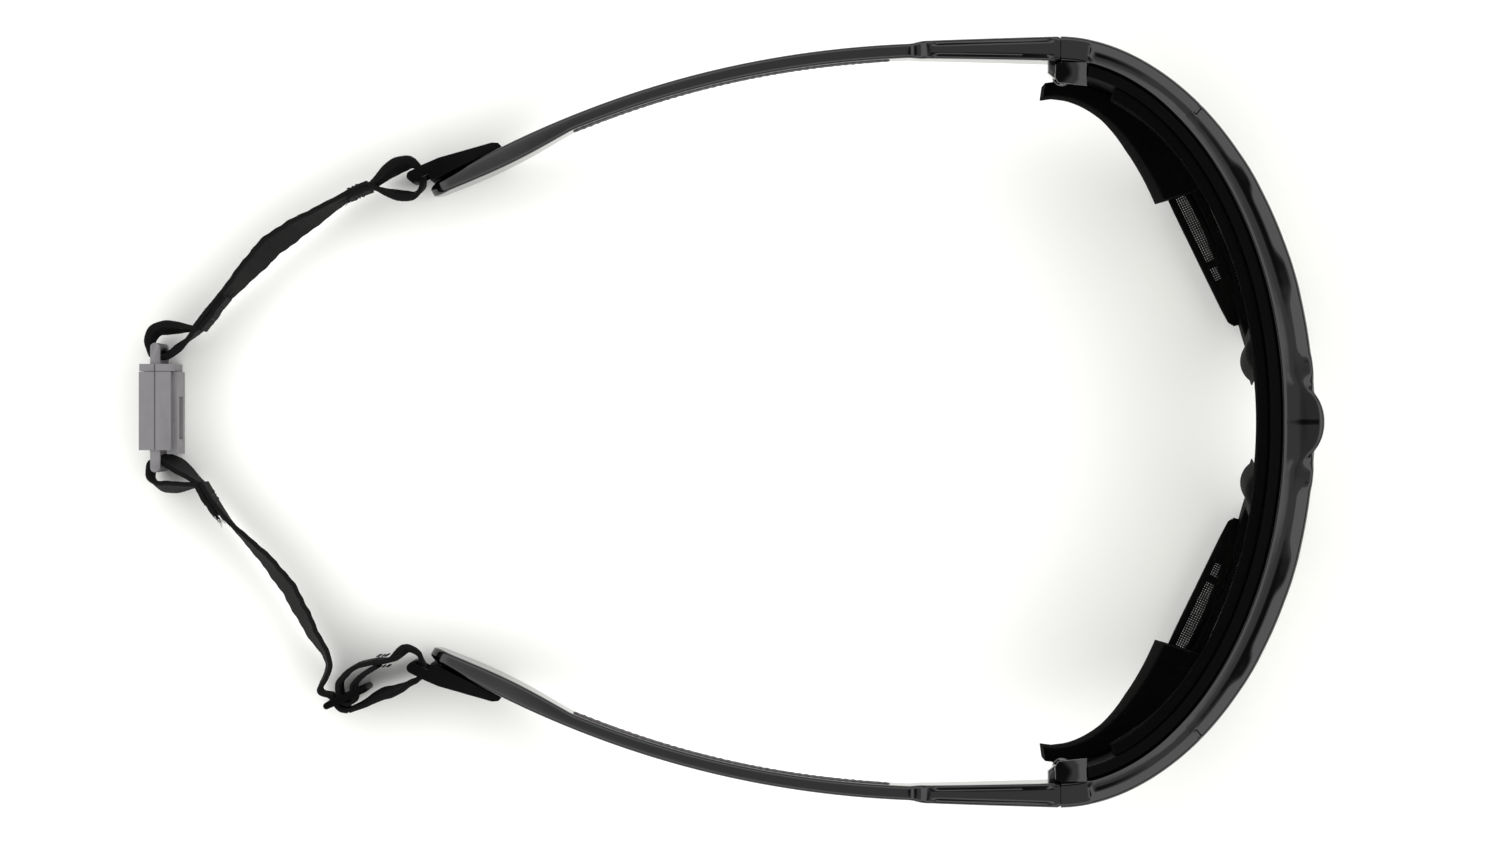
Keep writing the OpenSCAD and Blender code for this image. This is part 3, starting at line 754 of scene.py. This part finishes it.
    def lower_rim(self, wrap: Wrap, side: int, grow: float, f0: float, f1: float, start: float,
                  stop: float) -> np.ndarray:
        """Sections of the rim under one eye, carried round the middle of the eye.

        Each section is a rounded rectangle between the eye opening and the cheek outline, with
        its depth measured between two shares of the wrap.
        """
        theta = np.radians(np.linspace(start, stop, 130))
        deg = np.degrees(theta)
        r_in = radius_at(catmull_loop(EYE_LINE), deg) + grow
        r_out = radius_at(catmull(CHEEK_LINE), deg) - grow
        ring = rounded_ring(4, 4)
        half = (r_out - r_in) / 2
        depth = 3.0
        uv = rounded_rect(half, np.full_like(half, depth), np.minimum(0.7, half * 0.7), ring)
        r = (r_in + r_out)[:, None] / 2 + uv[..., 0]
        share = f0 + (f1 - f0) * (0.5 + 0.5 * uv[..., 1] / depth)
        x = EYE_MIDDLE[0] + r * np.cos(theta)[:, None]
        z = EYE_MIDDLE[1] + r * np.sin(theta)[:, None]
        px, py = wrap.at(wrap.angle(x), share)
        return mirrored(np.stack([px, py, z], -1), side)

    def knuckle(self, k: int) -> np.ndarray:
        """One of the two outer hinge lugs: a half round in front and a web to the side wall."""
        x, y = self.pin
        arc = np.radians(np.linspace(90, 270, 17))
        round_end = np.stack([x + self.knuckle_r * np.cos(arc), y + self.knuckle_r * np.sin(arc)], -1)
        web = [(x + 3, y - self.knuckle_r), (x + 3, y + 0.8), (x + 1.8, y + 0.8),
               (x + 1, y + self.knuckle_r - 0.3)]
        outline = np.concatenate([round_end, web])
        return prism(outline, self.knuckle_z[k], self.knuckle_z[k + 1], 0.25)

    def strip(self, wrap: Wrap, a: np.ndarray, low: np.ndarray, top: np.ndarray, radius: float,
              crown: float = 0.0) -> np.ndarray:
        """Sections of a plain strip that follows a wrap between two heights.

        Each section is a rounded rectangle across the thickness and up the height; crown lifts
        the middle of the inner face.
        """
        half = wrap.thickness(a) / 2
        tall = (top - low) / 2
        uv = rounded_rect(half, tall, np.minimum(radius, 0.8 * half), rounded_ring(4, 6))
        share = 0.5 - 0.5 * uv[..., 0] / half[:, None]
        share = share + crown * (share > 0.5) * (1 - (uv[..., 1] / tall[:, None]) ** 2)
        px, py = wrap.at(a[:, None], share)
        return np.stack([px, py, (low + top)[:, None] / 2 + uv[..., 1]], -1)

    def gasket_carrier(self) -> None:
        """The matte shell that clips behind the moulding and holds the foam."""
        a = np.linspace(math.radians(8), math.radians(172), 200)
        x = self.carrier.at(a, 0 * a)[0]
        parts = [self.strip(self.carrier, a, level(UNDER_BROW, x) + 0.6, level(BROW_LINE, x) - 1.25, 0.4)]
        for side in SIDES.values():
            parts.append(self.lower_rim(self.carrier, side, 0.35, 0.04, 0.96, 168, 370))
            turn = np.linspace(math.radians(37), math.radians(72), 50)
            sill = Wrap((70.8, 42.7), (69.0, 40.9))
            parts.append(mirrored(self.strip(sill, turn, 0 * turn + 3.3, 0 * turn + 4.7, 0.2), side))
        piece = make_object("gasket_shell", *sweep_many(parts))
        self.finish(piece, CARRIER_MATTE, "gasket_carrier")

    def foam(self) -> None:
        """The foam strip along the brow and the thick side pads, square cut at their ends."""
        a = np.linspace(math.radians(16), math.radians(164), 170)
        x = self.brow_foam.at(a, 0 * a)[0]
        low = np.maximum(34.0, level(UNDER_BROW, x) + 1.5)
        strip = self.strip(self.brow_foam, a, low, level(BROW_LINE, x) - 2.1, 0.5, 0.12)
        brow = make_object("brow_foam", *sweep(strip))
        self.finish(brow, FOAM, "foam_brow")
        for name, side in SIDES.items():
            pad = make_object(f"side_foam_{name}", *sweep(mirrored(self.side_pad(), side)))
            self.finish(pad, FOAM, f"foam_side_{name}")

    def side_pad(self) -> np.ndarray:
        """Sections of a side pad, from the hinge to the vent plate.

        The seat follows the carrier and the face side is flatter; the face side is crowned.
        """
        e = 2 / self.carrier.power
        fine = np.radians(np.linspace(4, 46, 60))
        seat = np.stack([70.0 * np.cos(fine) ** e, -41.9 * np.sin(fine) ** e], -1)
        face = np.stack([66.8 * np.cos(fine) ** e, -31.3 * np.sin(fine) ** e], -1)
        seat = np.concatenate([[(69.4, 2.2), (69.7, 0)], seat])
        face = np.concatenate([[(66.6, 2.6), (66.9, 0.4)], face])
        mid = (seat + face) / 2
        mid = (seat + face) / 2
        half = np.linalg.norm(seat - face, axis=1) / 2
        across = (face - seat) / (2 * half[:, None])
        low = np.interp(mid[:, 0], (44, 58, 64, 72), (5.2, 8.5, 14, 14))
        top = 24.8 - 0.5 * bump(mid[:, 0], 56, 5)
        tall = (top - low) / 2
        uv = rounded_rect(half, tall, np.minimum(0.45, 0.4 * half), rounded_ring(4, 8))
        swell = 0.35 * (uv[..., 0] > 0) * np.cos(uv[..., 1] / tall[:, None] * math.pi / 2)
        flat = mid[:, None, :] + across[:, None, :] * (uv[..., :1] + swell[..., None])
        return np.concatenate([flat, ((low + top)[:, None] / 2 + uv[..., 1])[..., None]], -1)

    def one_lens(self, side: str) -> None:
        """A lens: rings from the middle of the eye to its edge, on both faces, closed at the rim."""
        turns, rings = 96, 26
        deg = np.linspace(90, 450, turns, endpoint=False)
        reach = radius_at(catmull_loop(EYE_LINE), deg) + 0.9
        share_out = np.linspace(0.03, 1, rings)
        r = reach[None, :] * share_out[:, None]
        x = EYE_MIDDLE[0] + r * np.cos(np.radians(deg))
        z = EYE_MIDDLE[1] + r * np.sin(np.radians(deg))
        a = self.lens.angle(x)
        front = np.stack([*self.lens.at(a, 0 * a), z], -1)
        back = np.stack([*self.lens.at(a, 0 * a + 1), z], -1)
        sections = mirrored(np.concatenate([front, back[::-1]]), SIDES[side])
        piece = make_object(f"lens_shell_{side}", *sweep(sections))
        self.finish(piece, LENS_CLEAR, f"lens_{side}")

    def nose_pad(self, side: str) -> None:
        """A soft pad beside the nose: a leaning capsule with a flat seat on the carrier."""
        radius, tall, lean = 5.0, 8.0, math.radians(12)
        turn = np.linspace(-math.pi / 2, math.pi / 2, 25)
        rise = radius * np.sin(turn) + tall * (turn > 0)
        wide = radius * np.cos(turn)
        rise = np.insert(rise, 13, tall)
        wide = np.insert(wide, 13, radius)
        round_about = np.linspace(0, 2 * math.pi, 40, endpoint=False)
        px = wide[:, None] * np.cos(round_about)
        py = wide[:, None] * np.sin(round_about)
        pz = np.broadcast_to(rise[:, None], px.shape)
        x = 12.6 + px * math.cos(lean) + pz * math.sin(lean)
        z = 11.5 - px * math.sin(lean) + pz * math.cos(lean)
        w, d = self.carrier.inner
        seat = -d * (1 - np.clip(np.abs(x) / w, 0, 1) ** self.carrier.power) ** (1 / self.carrier.power)
        y = np.maximum(-44.3 + py, seat - 0.05)
        sections = mirrored(np.stack([x, y, z], -1), SIDES[side])
        piece = make_object(f"nose_rubber_{side}", *sweep(sections))
        self.finish(piece, NOSE_RUBBER, f"nose_pad_{side}")

    def vent_plate(self, side: str) -> None:
        """The vented lower plate, with its edges rounded, and the dark grey mesh of painted shade in its
        slots.
        """
        piece = softened_copy(f"vent_plate_{side}", f"vented_plate_{side}", 0.25, 2)
        self.finish(piece, CARRIER_MATTE, f"vent_plate_{side}")
        along = VENT_EDGE[1] - VENT_EDGE[0]
        along = along / np.linalg.norm(along)
        back = np.array([along[1], -along[0]])
        middle = VENT_EDGE.mean(0)
        wires = []
        for near, far in VENT_SLOTS:
            for d in np.arange(near, far, VENT_PITCH):
                start = middle + along * d
                wires.append(self.wire(start + back * VENT_DEPTH[0], start + back * VENT_DEPTH[1], 3.6))
            for d in np.arange(VENT_DEPTH[0] + 0.1, VENT_DEPTH[1], VENT_PITCH):
                start = middle + back * d
                wires.append(self.wire(start + along * near, start + along * far, 3.85))
        # A dark grey wire mesh fills the slots as painted shade, standing for the shadowed floor seen
        # through them.
        mesh = make_object(f"vent_painted_shade_mesh_{side}", *sweep_many([mirrored(w, SIDES[side]) for w in wires]))
        self.paint.dress(mesh, VENT_SLOT_SHADE)
        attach(mesh, "front")

    @staticmethod
    def wire(a: np.ndarray, b: np.ndarray, height: float, radius: float = 0.16) -> np.ndarray:
        """Sections of a straight round wire between two places seen from above."""
        turn = np.linspace(0, 2 * math.pi, 7)[:-1]
        d = (b - a) / np.linalg.norm(b - a)
        out = np.array([d[1], -d[0]])
        ends = []
        for place in (a, b):
            flat = place + out * (radius * np.cos(turn))[:, None]
            ends.append(np.column_stack([flat, height + radius * np.sin(turn)]))
        return np.stack(ends)


# ---------------------------------------------------------------------------------------------
# Temples
# ---------------------------------------------------------------------------------------------

TEMPLE_TOP = [(0.2, 38.5), (25, 36.4), (60, 28.8), (100, 18.6), (118, 13.6), (129, 10.4)]
TEMPLE_LOW = [(0.2, 27.5), (16, 28.2), (30, 27.6), (60, 21.4), (96, 10.6), (108, 5.6), (119, 1), (125, 0.3),
              (129, 2.4)]


@dataclass
class Temples:
    """The two folding arms, their soft liners and the clips on their tips."""

    paint: Paint
    middle_x: float = 75.1
    sweep_in: float = 26.8
    straight: float = 24.0
    length: float = 128.0
    slim_half: float = 1.45
    pin: tuple[float, float] = (70.3, -0.8)

    def build(self) -> None:
        """Builds both arms, liners and clips."""
        for name, side in SIDES.items():
            body = f"{name}_temple"
            arm = make_object(f"temple_arm_{name}", *sweep_many([mirrored(self.arm(), side),
                                                                 mirrored(self.knuckle(), side)]))
            self.finish(arm, BLACK_GLOSS, f"temple_{name}", body)
            liner = make_object(f"temple_grip_{name}", *sweep(mirrored(self.liner(), side)))
            self.finish(liner, LINER, f"temple_liner_{name}", body)
            clip = softened_copy(f"clip_{name}", f"strap_clip_{name}", 0.45, 3)
            self.finish(clip, CLIP_BLACK, f"clip_{name}", body)

    def finish(self, piece: bpy.types.Object, finish: Finish, node: str, body: str) -> None:
        """Dresses a piece, lets it stand for its node and fixes it to its temple."""
        self.paint.dress(piece, finish)
        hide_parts(node)
        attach(piece, body)
        LOG.info("%s: %d faces", piece.name, len(piece.data.polygons))

    def line_x(self, y: np.ndarray) -> np.ndarray:
        """Distance of the arm's middle from the middle plane."""
        return self.middle_x - self.sweep_in * (np.clip(y - self.straight, 0, None)
                                                / (self.length - self.straight)) ** 2.15

    def frame_at(self, y: np.ndarray) -> tuple[np.ndarray, np.ndarray]:
        """The arm's middle line and its outward direction, seen from above."""
        line = np.stack([self.line_x(y), y], -1)
        d = 0.01
        slope = (self.line_x(y + d) - self.line_x(y - d)) / (2 * d)
        out = np.stack([np.ones_like(y), -slope], -1)
        return line, out / np.linalg.norm(out, axis=1, keepdims=True)

    def arm(self) -> np.ndarray:
        """Sections of the arm from the hinge to the rounded tip.

        A rounded rectangle is carried along the arm. The block at the hinge tapers to a step;
        beyond it the arm is slim, and it swells on the inside round the clip's stud. Two fine
        grooves frame the top of the block.
        """
        y = np.concatenate([np.linspace(0.07, 25.5, 46), np.linspace(26, 32, 25), np.linspace(33, 126, 110),
                            126 + 2.9 * np.sin(np.linspace(0.1, math.pi / 2 - 0.05, 9))])
        line, out = self.frame_at(y)
        step = ease(y, 27.2, 30.6)
        block_out = np.interp(y, (0, 27), (2.6, 1.95))
        block_in = np.interp(y, (0, 27), (2.35, 1.7))
        swell = 1.05 * np.sin(np.clip((y - 100) / 26, 0, 1) * math.pi)
        half_out = block_out + (self.slim_half - block_out) * step
        half_in = block_in + (self.slim_half - block_in) * step + swell
        round_tip = np.sqrt(np.clip(1 - ((y - 126) / 3) ** 2, 0, 1)) * (y > 126) + (y <= 126)
        start = 1 - 0.1 * (1 - ease(y, 0.05, 0.6))
        half = (half_out + half_in) / 2 * (0.35 + 0.65 * round_tip) * start
        shift = (half_out - half_in) / 2
        top, low = level(TEMPLE_TOP, y), level(TEMPLE_LOW, y)
        tall = (top - low) / 2 * round_tip * (1 - 0.02 * (1 - ease(y, 0.05, 0.6)))
        ring = rounded_ring(6, 14)
        uv = rounded_rect(half, tall, np.minimum(0.62, 0.5 * np.minimum(half, tall)), ring)
        u, v = uv[..., 0], uv[..., 1]
        yy = y[:, None]
        on_top = (v > (tall[:, None] - 0.7)).astype(float)
        inside = ease(yy, 1.4, 2.4) * (1 - ease(yy, 24.6, 26.2))
        edge = half[:, None] - np.abs(u)
        groove = 0.32 * np.exp(-((edge - 0.78) / 0.2) ** 2) * inside
        # The top of the block leans outwards a little, and the slim arm has a soft crown.
        lean = (u + half[:, None]) * 0.17 * (1 - ease(yy, 25, 27.5))
        crown = 0.12 * (u / half[:, None]) ** 2 * ease(yy, 27.5, 31)
        notch = 0.5 * bump(yy, 28.6, 1.3) * on_top
        z = (top + low)[:, None] / 2 + v - on_top * (groove + lean + crown) - notch
        flat = line[:, None, :] + out[:, None, :] * (u + shift[:, None])[..., None]
        return np.concatenate([flat, z[..., None]], -1)

    def knuckle(self) -> np.ndarray:
        """The middle hinge lug, joined to the block."""
        x, y = self.pin
        arc = np.radians(np.linspace(110, 360, 21))
        outline = np.stack([x + 1.98 * np.cos(arc), y + 1.98 * np.sin(arc)], -1)
        outline = np.concatenate([outline, [(x + 3.2, y + 1.1), (x + 3.2, y + 3.1), (x + 0.4, y + 3.1)]])
        return prism(outline, 31.3, 34.7, 0.2)

    def liner(self) -> np.ndarray:
        """Sections of the soft liner, let into the inner face of the slim arm."""
        y = np.linspace(34.3, 99.7, 90)
        line, out = self.frame_at(y)
        ends = np.sqrt(np.clip(1 - np.abs((y - 67) / 33) ** 14, 0, 1))
        top, low = level(TEMPLE_TOP, y), level(TEMPLE_LOW, y)
        tall = np.maximum((top - low) / 2 - 1.6, 0.4) * (0.25 + 0.75 * ends)
        half = np.full_like(y, 0.44)
        uv = rounded_rect(half, tall, np.full_like(y, 0.3), rounded_ring(4, 10))
        # Fine ribs run across the grip, 1.6 mm apart.
        ribs = 0.07 * np.cos(2 * math.pi * y / 1.6)[:, None] * (uv[..., 0] < 0)
        u = uv[..., 0] - self.slim_half + 0.28 - ribs
        flat = line[:, None, :] + out[:, None, :] * u[..., None]
        z = (top + low)[:, None] / 2 + uv[..., 1]
        return np.concatenate([flat, z[..., None]], -1)


# ---------------------------------------------------------------------------------------------
# Strap
# ---------------------------------------------------------------------------------------------

@dataclass
class Band:
    """One length of webbing standing on edge: the line of its middle and how far it leans.

    lean is the tilt in degrees half way along. flare is the tilt of both sides of a loop, which
    stands upright at the stitching and again at the bar.
    """

    line: np.ndarray
    lean: float = 0.0
    flare: float = 0.0
    low: float = 1.9
    width: float = 10.2
    thick: float = 1.1
    pitch: float = 0.9
    spacing: float = 0.3

    def sections(self) -> tuple[np.ndarray, np.ndarray]:
        """Sections of the webbing and their places on the cloth map.

        Across, 25 points run up each face and the edges are half round. Both faces carry the
        weave, a product of two waves, and the edges are nipped in by the weft at each pick.
        """
        line, along = resample(self.line, self.spacing)
        out = side_normals(line)
        up = np.linspace(-1, 1, 25)
        edge = np.radians(np.linspace(60, -60, 4))
        face_v = up * (self.width / 2 - self.thick / 2)
        v = np.concatenate([face_v, self.width / 2 - self.thick / 2 * (1 - np.cos(edge)),
                            face_v[::-1], -self.width / 2 + self.thick / 2 * (1 - np.cos(edge))])
        u = np.concatenate([np.ones(25), np.sin(edge), -np.ones(25), -np.sin(edge)]) * self.thick / 2
        s = along[:, None]
        cross = np.sin(2 * math.pi * s / self.pitch) * np.sin(2 * math.pi * v[None, :] / self.pitch)
        flat = (np.abs(u) > 0.49 * self.thick)[None, :]
        u = u[None, :] + np.sign(u)[None, :] * (0.045 * cross * flat - 0.03)
        nip = 0.07 * np.cos(4 * math.pi * s / self.pitch) * (~flat)
        swing = self.lean * np.sin(math.pi * s / along[-1]) ** 2
        swing = swing + self.flare * np.sin(2 * math.pi * s / along[-1]) ** 2
        sway = 0.1 * np.sin(s * 0.83) + 0.07 * np.sin(s * 2.1 + 1)
        tilt = np.tan(np.radians(swing))
        vv = v[None, :] * (1 - nip / self.width) * np.cos(np.radians(swing))
        side = u + (vv * tilt) + sway * (np.sin(math.pi * s / along[-1]) ** 2)
        flat_xy = line[:, None, :] + out[:, None, :] * side[..., None]
        z = self.low + self.width / 2 + vv
        cloth = np.stack(np.broadcast_arrays(s, v[None, :] + 40 * (u > 0)), -1)
        return np.concatenate([flat_xy, z[..., None]], -1), cloth


def teardrop(bar: np.ndarray, bar_r: float, angle: float, sides: tuple[float, float]) -> np.ndarray:
    """The line of webbing round a bar: a teardrop with its round end past the bar.

    Args:
        bar: place of the bar.
        bar_r: radius of the bar.
        angle: direction from the bar to the point of the teardrop, in degrees.
        sides: how far the ply on each side stands off.

    Returns:
        The line, from the point round the bar and back to the point.
    """
    t = np.radians(np.linspace(0, 360, 91))
    back = bar_r + 0.2 + 0.55
    along = -back + (LOOP_LENGTH + back) * (1 + np.cos(t)) / 2
    across = np.where(t < math.pi, sides[0], sides[1]) / 0.72 * np.sin(t) * np.abs(np.sin(t / 2)) ** 1.5
    c, s = math.cos(math.radians(angle)), math.sin(math.radians(angle))
    return np.stack([bar[0] + along * c - across * s, bar[1] + along * s + across * c], -1)


LOOP_LENGTH = 9.4
LOOSE, TIGHT = 3.6, 2.05
LEFT_BAR = np.array([51.001, 132.7095])
RIGHT_BAR = LEFT_BAR * (-1, 1)
PLUG_BAR = np.array([15.45, 186.0])
SOCKET_BAR = np.array([-9.45, 186.0])
SLIDER = np.array([-57.2, 146.6])


def from_slider(points: Sequence) -> np.ndarray:
    """Turns points in the slider's own frame, X away from the clip, into the model's."""
    d = (SLIDER - RIGHT_BAR) / np.linalg.norm(SLIDER - RIGHT_BAR)
    p = np.asarray(points, float)
    return SLIDER + p[:, :1] * d + p[:, 1:] * np.array([-d[1], d[0]])


@dataclass
class Strap:
    """The webbing, its stitching, the slider and the release buckle."""

    paint: Paint
    seed: int = 7
    ply: float = 0.55

    def build(self) -> None:
        """Builds the webbing of both sides, then the hardware."""
        self.left_strap()
        self.right_run()
        self.right_loop()
        for node, name, radius, finish, body in (
                ("slider", "strap_adjuster", 0.35, CLIP_BLACK, "strap_slider"),
                ("buckle_socket", "buckle_body", 0.3, BUCKLE_GREY, "right_strap"),
                ("buckle_plug", "buckle_insert", 0.3, BUCKLE_GREY, "plug"),
                ("buckle_latch", "buckle_tongue", 0.15, BUCKLE_GREY, "latch")):
            piece = softened_copy(node, name, radius, 3)
            self.finish(piece, finish, node)
            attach(piece, body)

    def finish(self, piece: bpy.types.Object, finish: Finish, node: str) -> None:
        """Dresses a piece and lets it stand for its node."""
        self.paint.dress(piece, finish)
        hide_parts(node)
        LOG.info("%s: %d faces", piece.name, len(piece.data.polygons))

    def webbing(self, name: str, bands: Sequence[Band], frays: Sequence[tuple]) -> bpy.types.Object:
        """One piece of webbing made of lengths that meet, with loose threads at its cut ends."""
        verts, faces, cloth, count = [], [], [], 0
        for band in bands:
            sections, places = band.sections()
            v, f = sweep(sections, count)
            verts.append(v)
            faces += f
            cloth.append(np.concatenate([places.reshape(-1, 2), places[[0, -1]].mean(1)]))
            count += len(v)
        for place, direction, low, high in frays:
            v, f = self.fray(place, direction, low, high, count)
            verts.append(v)
            faces += f
            cloth.append(np.zeros((len(v), 2)))
            count += len(v)
        return make_object(name, np.concatenate(verts), faces, np.concatenate(cloth))

    def fray(self, place: np.ndarray, direction: np.ndarray, low: float, high: float,
             first: int) -> tuple[np.ndarray, list]:
        """Loose threads at a cut end: bent square hairs that taper to a point.

        Each hair starts on the cut edge and bends away by the square of its length.
        """
        rng = np.random.default_rng(self.seed + first)
        hairs, steps = 16, 5
        t = np.linspace(0, 1, steps)[None, :, None]
        base = np.concatenate([np.repeat(place[None, :], hairs, 0) + rng.normal(0, 0.25, (hairs, 2)),
                               rng.uniform(low, high, (hairs, 1))], 1)[:, None, :]
        ahead = np.array([*direction, 0.0])[None, None, :] * rng.uniform(0.5, 1.5, (hairs, 1, 1))
        bend = rng.normal(0, 0.5, (hairs, 1, 3))
        line = base + ahead * t + bend * t**2
        size = 0.11 * (1 - 0.8 * t)
        corners = np.array([(1, 0, 1), (-1, 1, 0), (0, -1, -1)], float)[None, None, :, :]
        sections = line[:, :, None, :] + corners * size[..., None]
        verts, faces, count = [], [], first
        for hair in sections:
            v, f = sweep(hair, count)
            verts.append(v)
            faces += f
            count += len(v)
        return np.concatenate(verts), faces

    def tack(self, name: str, node: str, body: str, line: np.ndarray, along: float) -> None:
        """A bar tack: rows of short stitches on both faces of the doubled webbing.

        Each stitch is a flattened bead, longer up the webbing than along it.
        """
        points, s = resample(line, 0.1)
        out = side_normals(points)
        beads = []
        turn = np.linspace(0, 2 * math.pi, 7)[:-1]
        rise = np.linspace(-math.pi / 2, math.pi / 2, 6)
        for row in (-0.9, 0.0, 0.9):
            k = int(np.argmin(np.abs(s - along - row)))
            tangent = np.array([-out[k, 1], out[k, 0]])
            for face in (-1, 1):
                for z in np.arange(3.2, 11.2, 0.8):
                    middle = points[k] + out[k] * face * 1.12
                    wide = 0.2 * np.cos(rise)[:, None]
                    flat = (middle + tangent * (wide * np.cos(turn))[..., None]
                            + out[k] * (0.75 * wide * np.sin(turn))[..., None])
                    high = np.broadcast_to((z + 0.42 * np.sin(rise))[:, None, None], (6, 6, 1))
                    lean = 0.3 * (row != 0) * face * np.sin(rise)[:, None, None] * tangent
                    beads.append(np.concatenate([flat + lean, high], -1))
        piece = make_object(name, *sweep_many(beads))
        self.finish(piece, THREAD, node)
        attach(piece, body)

    def left_strap(self) -> None:
        """The left length: a sewn loop on the clip bar, the run, and a sewn loop on the buckle."""
        front, rear = 101.0, -64.0
        drop_a = teardrop(LEFT_BAR, 1.1, front, (LOOSE, LOOSE))
        drop_b = teardrop(PLUG_BAR, 1.0, rear, (LOOSE, TIGHT))
        points = [drop_a[0], (47.2, 146.6), (41.6, 155.6), (37, 162.4), (30.6, 168.4), (26.4, 172.2),
                  drop_b[0]]
        line = catmull(points, 10)
        out = side_normals(line)
        s = np.linspace(0, 1, len(line))[:, None]
        sewn = 1 - ease(s, 0.1, 0.2) + ease(s, 0.84, 0.93)
        run = line + out * self.ply * sewn
        tail_a = (line - out * self.ply)[:11]
        tail_b = (line - out * self.ply)[-11:]
        bands = [Band(drop_a, flare=11), Band(drop_b, flare=11), Band(relaxed(run, 4.0), lean=19),
                 Band(tail_a), Band(tail_b)]
        frays = [(tail_a[-1], tail_a[-1] - tail_a[-3], 2, 12), (tail_b[0], tail_b[0] - tail_b[2], 2, 12)]
        piece = self.webbing("webbing_left", bands, frays)
        self.finish(piece, WEBBING, "strap_left")
        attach(piece, "left_strap")
        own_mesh(piece)
        self.tack("stitches_left_clip", "bar_tack_left_clip", "left_strap", line, 3.2)
        length = resample(line, 0.1)[1][-1]
        self.tack("stitches_left_buckle", "bar_tack_left_buckle", "left_strap", line, length - 3.2)

    def right_run(self) -> None:
        """The long run: a sewn loop on the buckle, then the run into the slider."""
        drop = teardrop(SOCKET_BAR, 1.0, -112.0, (TIGHT, LOOSE))
        inside = from_slider([(4.8, -3.6), (3.1, -1.5), (2.74, 0), (2.2, 1.8), (0.9, 2.75)])
        points = np.concatenate([[drop[0], (-19, 173.4), (-27, 165.4), (-34.6, 159.2), (-43, 154.6),
                                  (-50.4, 150.6)], inside])
        line = catmull(points, 10)
        out = side_normals(line)
        s = np.linspace(0, 1, len(line))[:, None]
        run = line - out * self.ply * (1 - ease(s, 0.08, 0.16))
        tail = (line + out * self.ply)[:11]
        bands = [Band(drop, flare=-11), Band(run, lean=-21), Band(tail)]
        piece = self.webbing("webbing_right", bands, [(tail[-1], tail[-1] - tail[-3], 2, 12)])
        self.finish(piece, WEBBING, "strap_right")
        self.world(from_slider([(2.5, 0)])[0])
        self.world(np.array([-49.0, 151.4]))
        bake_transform(piece)
        self.tack("stitches_right_buckle", "bar_tack_right_buckle", "right_strap", line, 3.2)

    def right_loop(self) -> None:
        """The loop: over the slider to the clip bar, round it, and back round the slider's bar."""
        bar = RIGHT_BAR
        outer = np.concatenate([from_slider([(0.6, 2.85), (-2.4, 2.9), (-6.6, 2.6), (-10.6, 3.1)]),
                                bar + [(-2.8, -0.6), (-0.7, -1.9), (2.6, -0.9), (3.6, 1.8)],
                                [(-49.6, 137.4)],
                                from_slider([(-8.4, -4.2)])])
        joint = catmull(outer, 10)
        wrap_r = 0.7 + 0.2 + 0.55
        turn = np.radians(np.arange(-15, 196, 10))
        lead = catmull(from_slider([(-8.4, -4.2), (-4, -4.9), (-0.4, -3.8), (1.1, -1.9)]), 8)
        back = catmull(from_slider([(-2, -1.5), (-4.6, -2.7), (-8.4, -3.2)]), 8)
        arc = from_slider(wrap_r * np.stack([np.cos(turn), np.sin(turn)], -1))
        sewn_end = np.concatenate([lead, arc, back])
        bands = [Band(joint, flare=8), Band(sewn_end)]
        piece = self.webbing("webbing_loop", bands, [(sewn_end[-1], sewn_end[-1] - sewn_end[-3], 2, 12)])
        self.finish(piece, WEBBING, "strap_loop")
        self.world(from_slider([(-10, 0)])[0])
        self.world(from_slider([(-3.5, 0)])[0])
        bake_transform(piece)
        length = resample(joint, 0.1)[1][-1]
        self.tack("stitches_right_slider", "bar_tack_right_slider", "right_loop", joint, length - 1.5)

    def world(self, place: np.ndarray) -> tuple[float, float, float]:
        """A place seen from above, in metres in the shared frame."""
        return (float(place[0]) * MM, (float(place[1]) + HINGE_LINE_Y) * MM, 0.007)


def main() -> None:
    """Loads the frame and builds every piece in order."""
    logging.basicConfig(level=logging.INFO, format="%(message)s")
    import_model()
    Studio().build()
    paint = Paint()
    Front(paint).build()
    Temples(paint).build()
    Strap(paint).build()


if __name__ == "__main__":
    main()
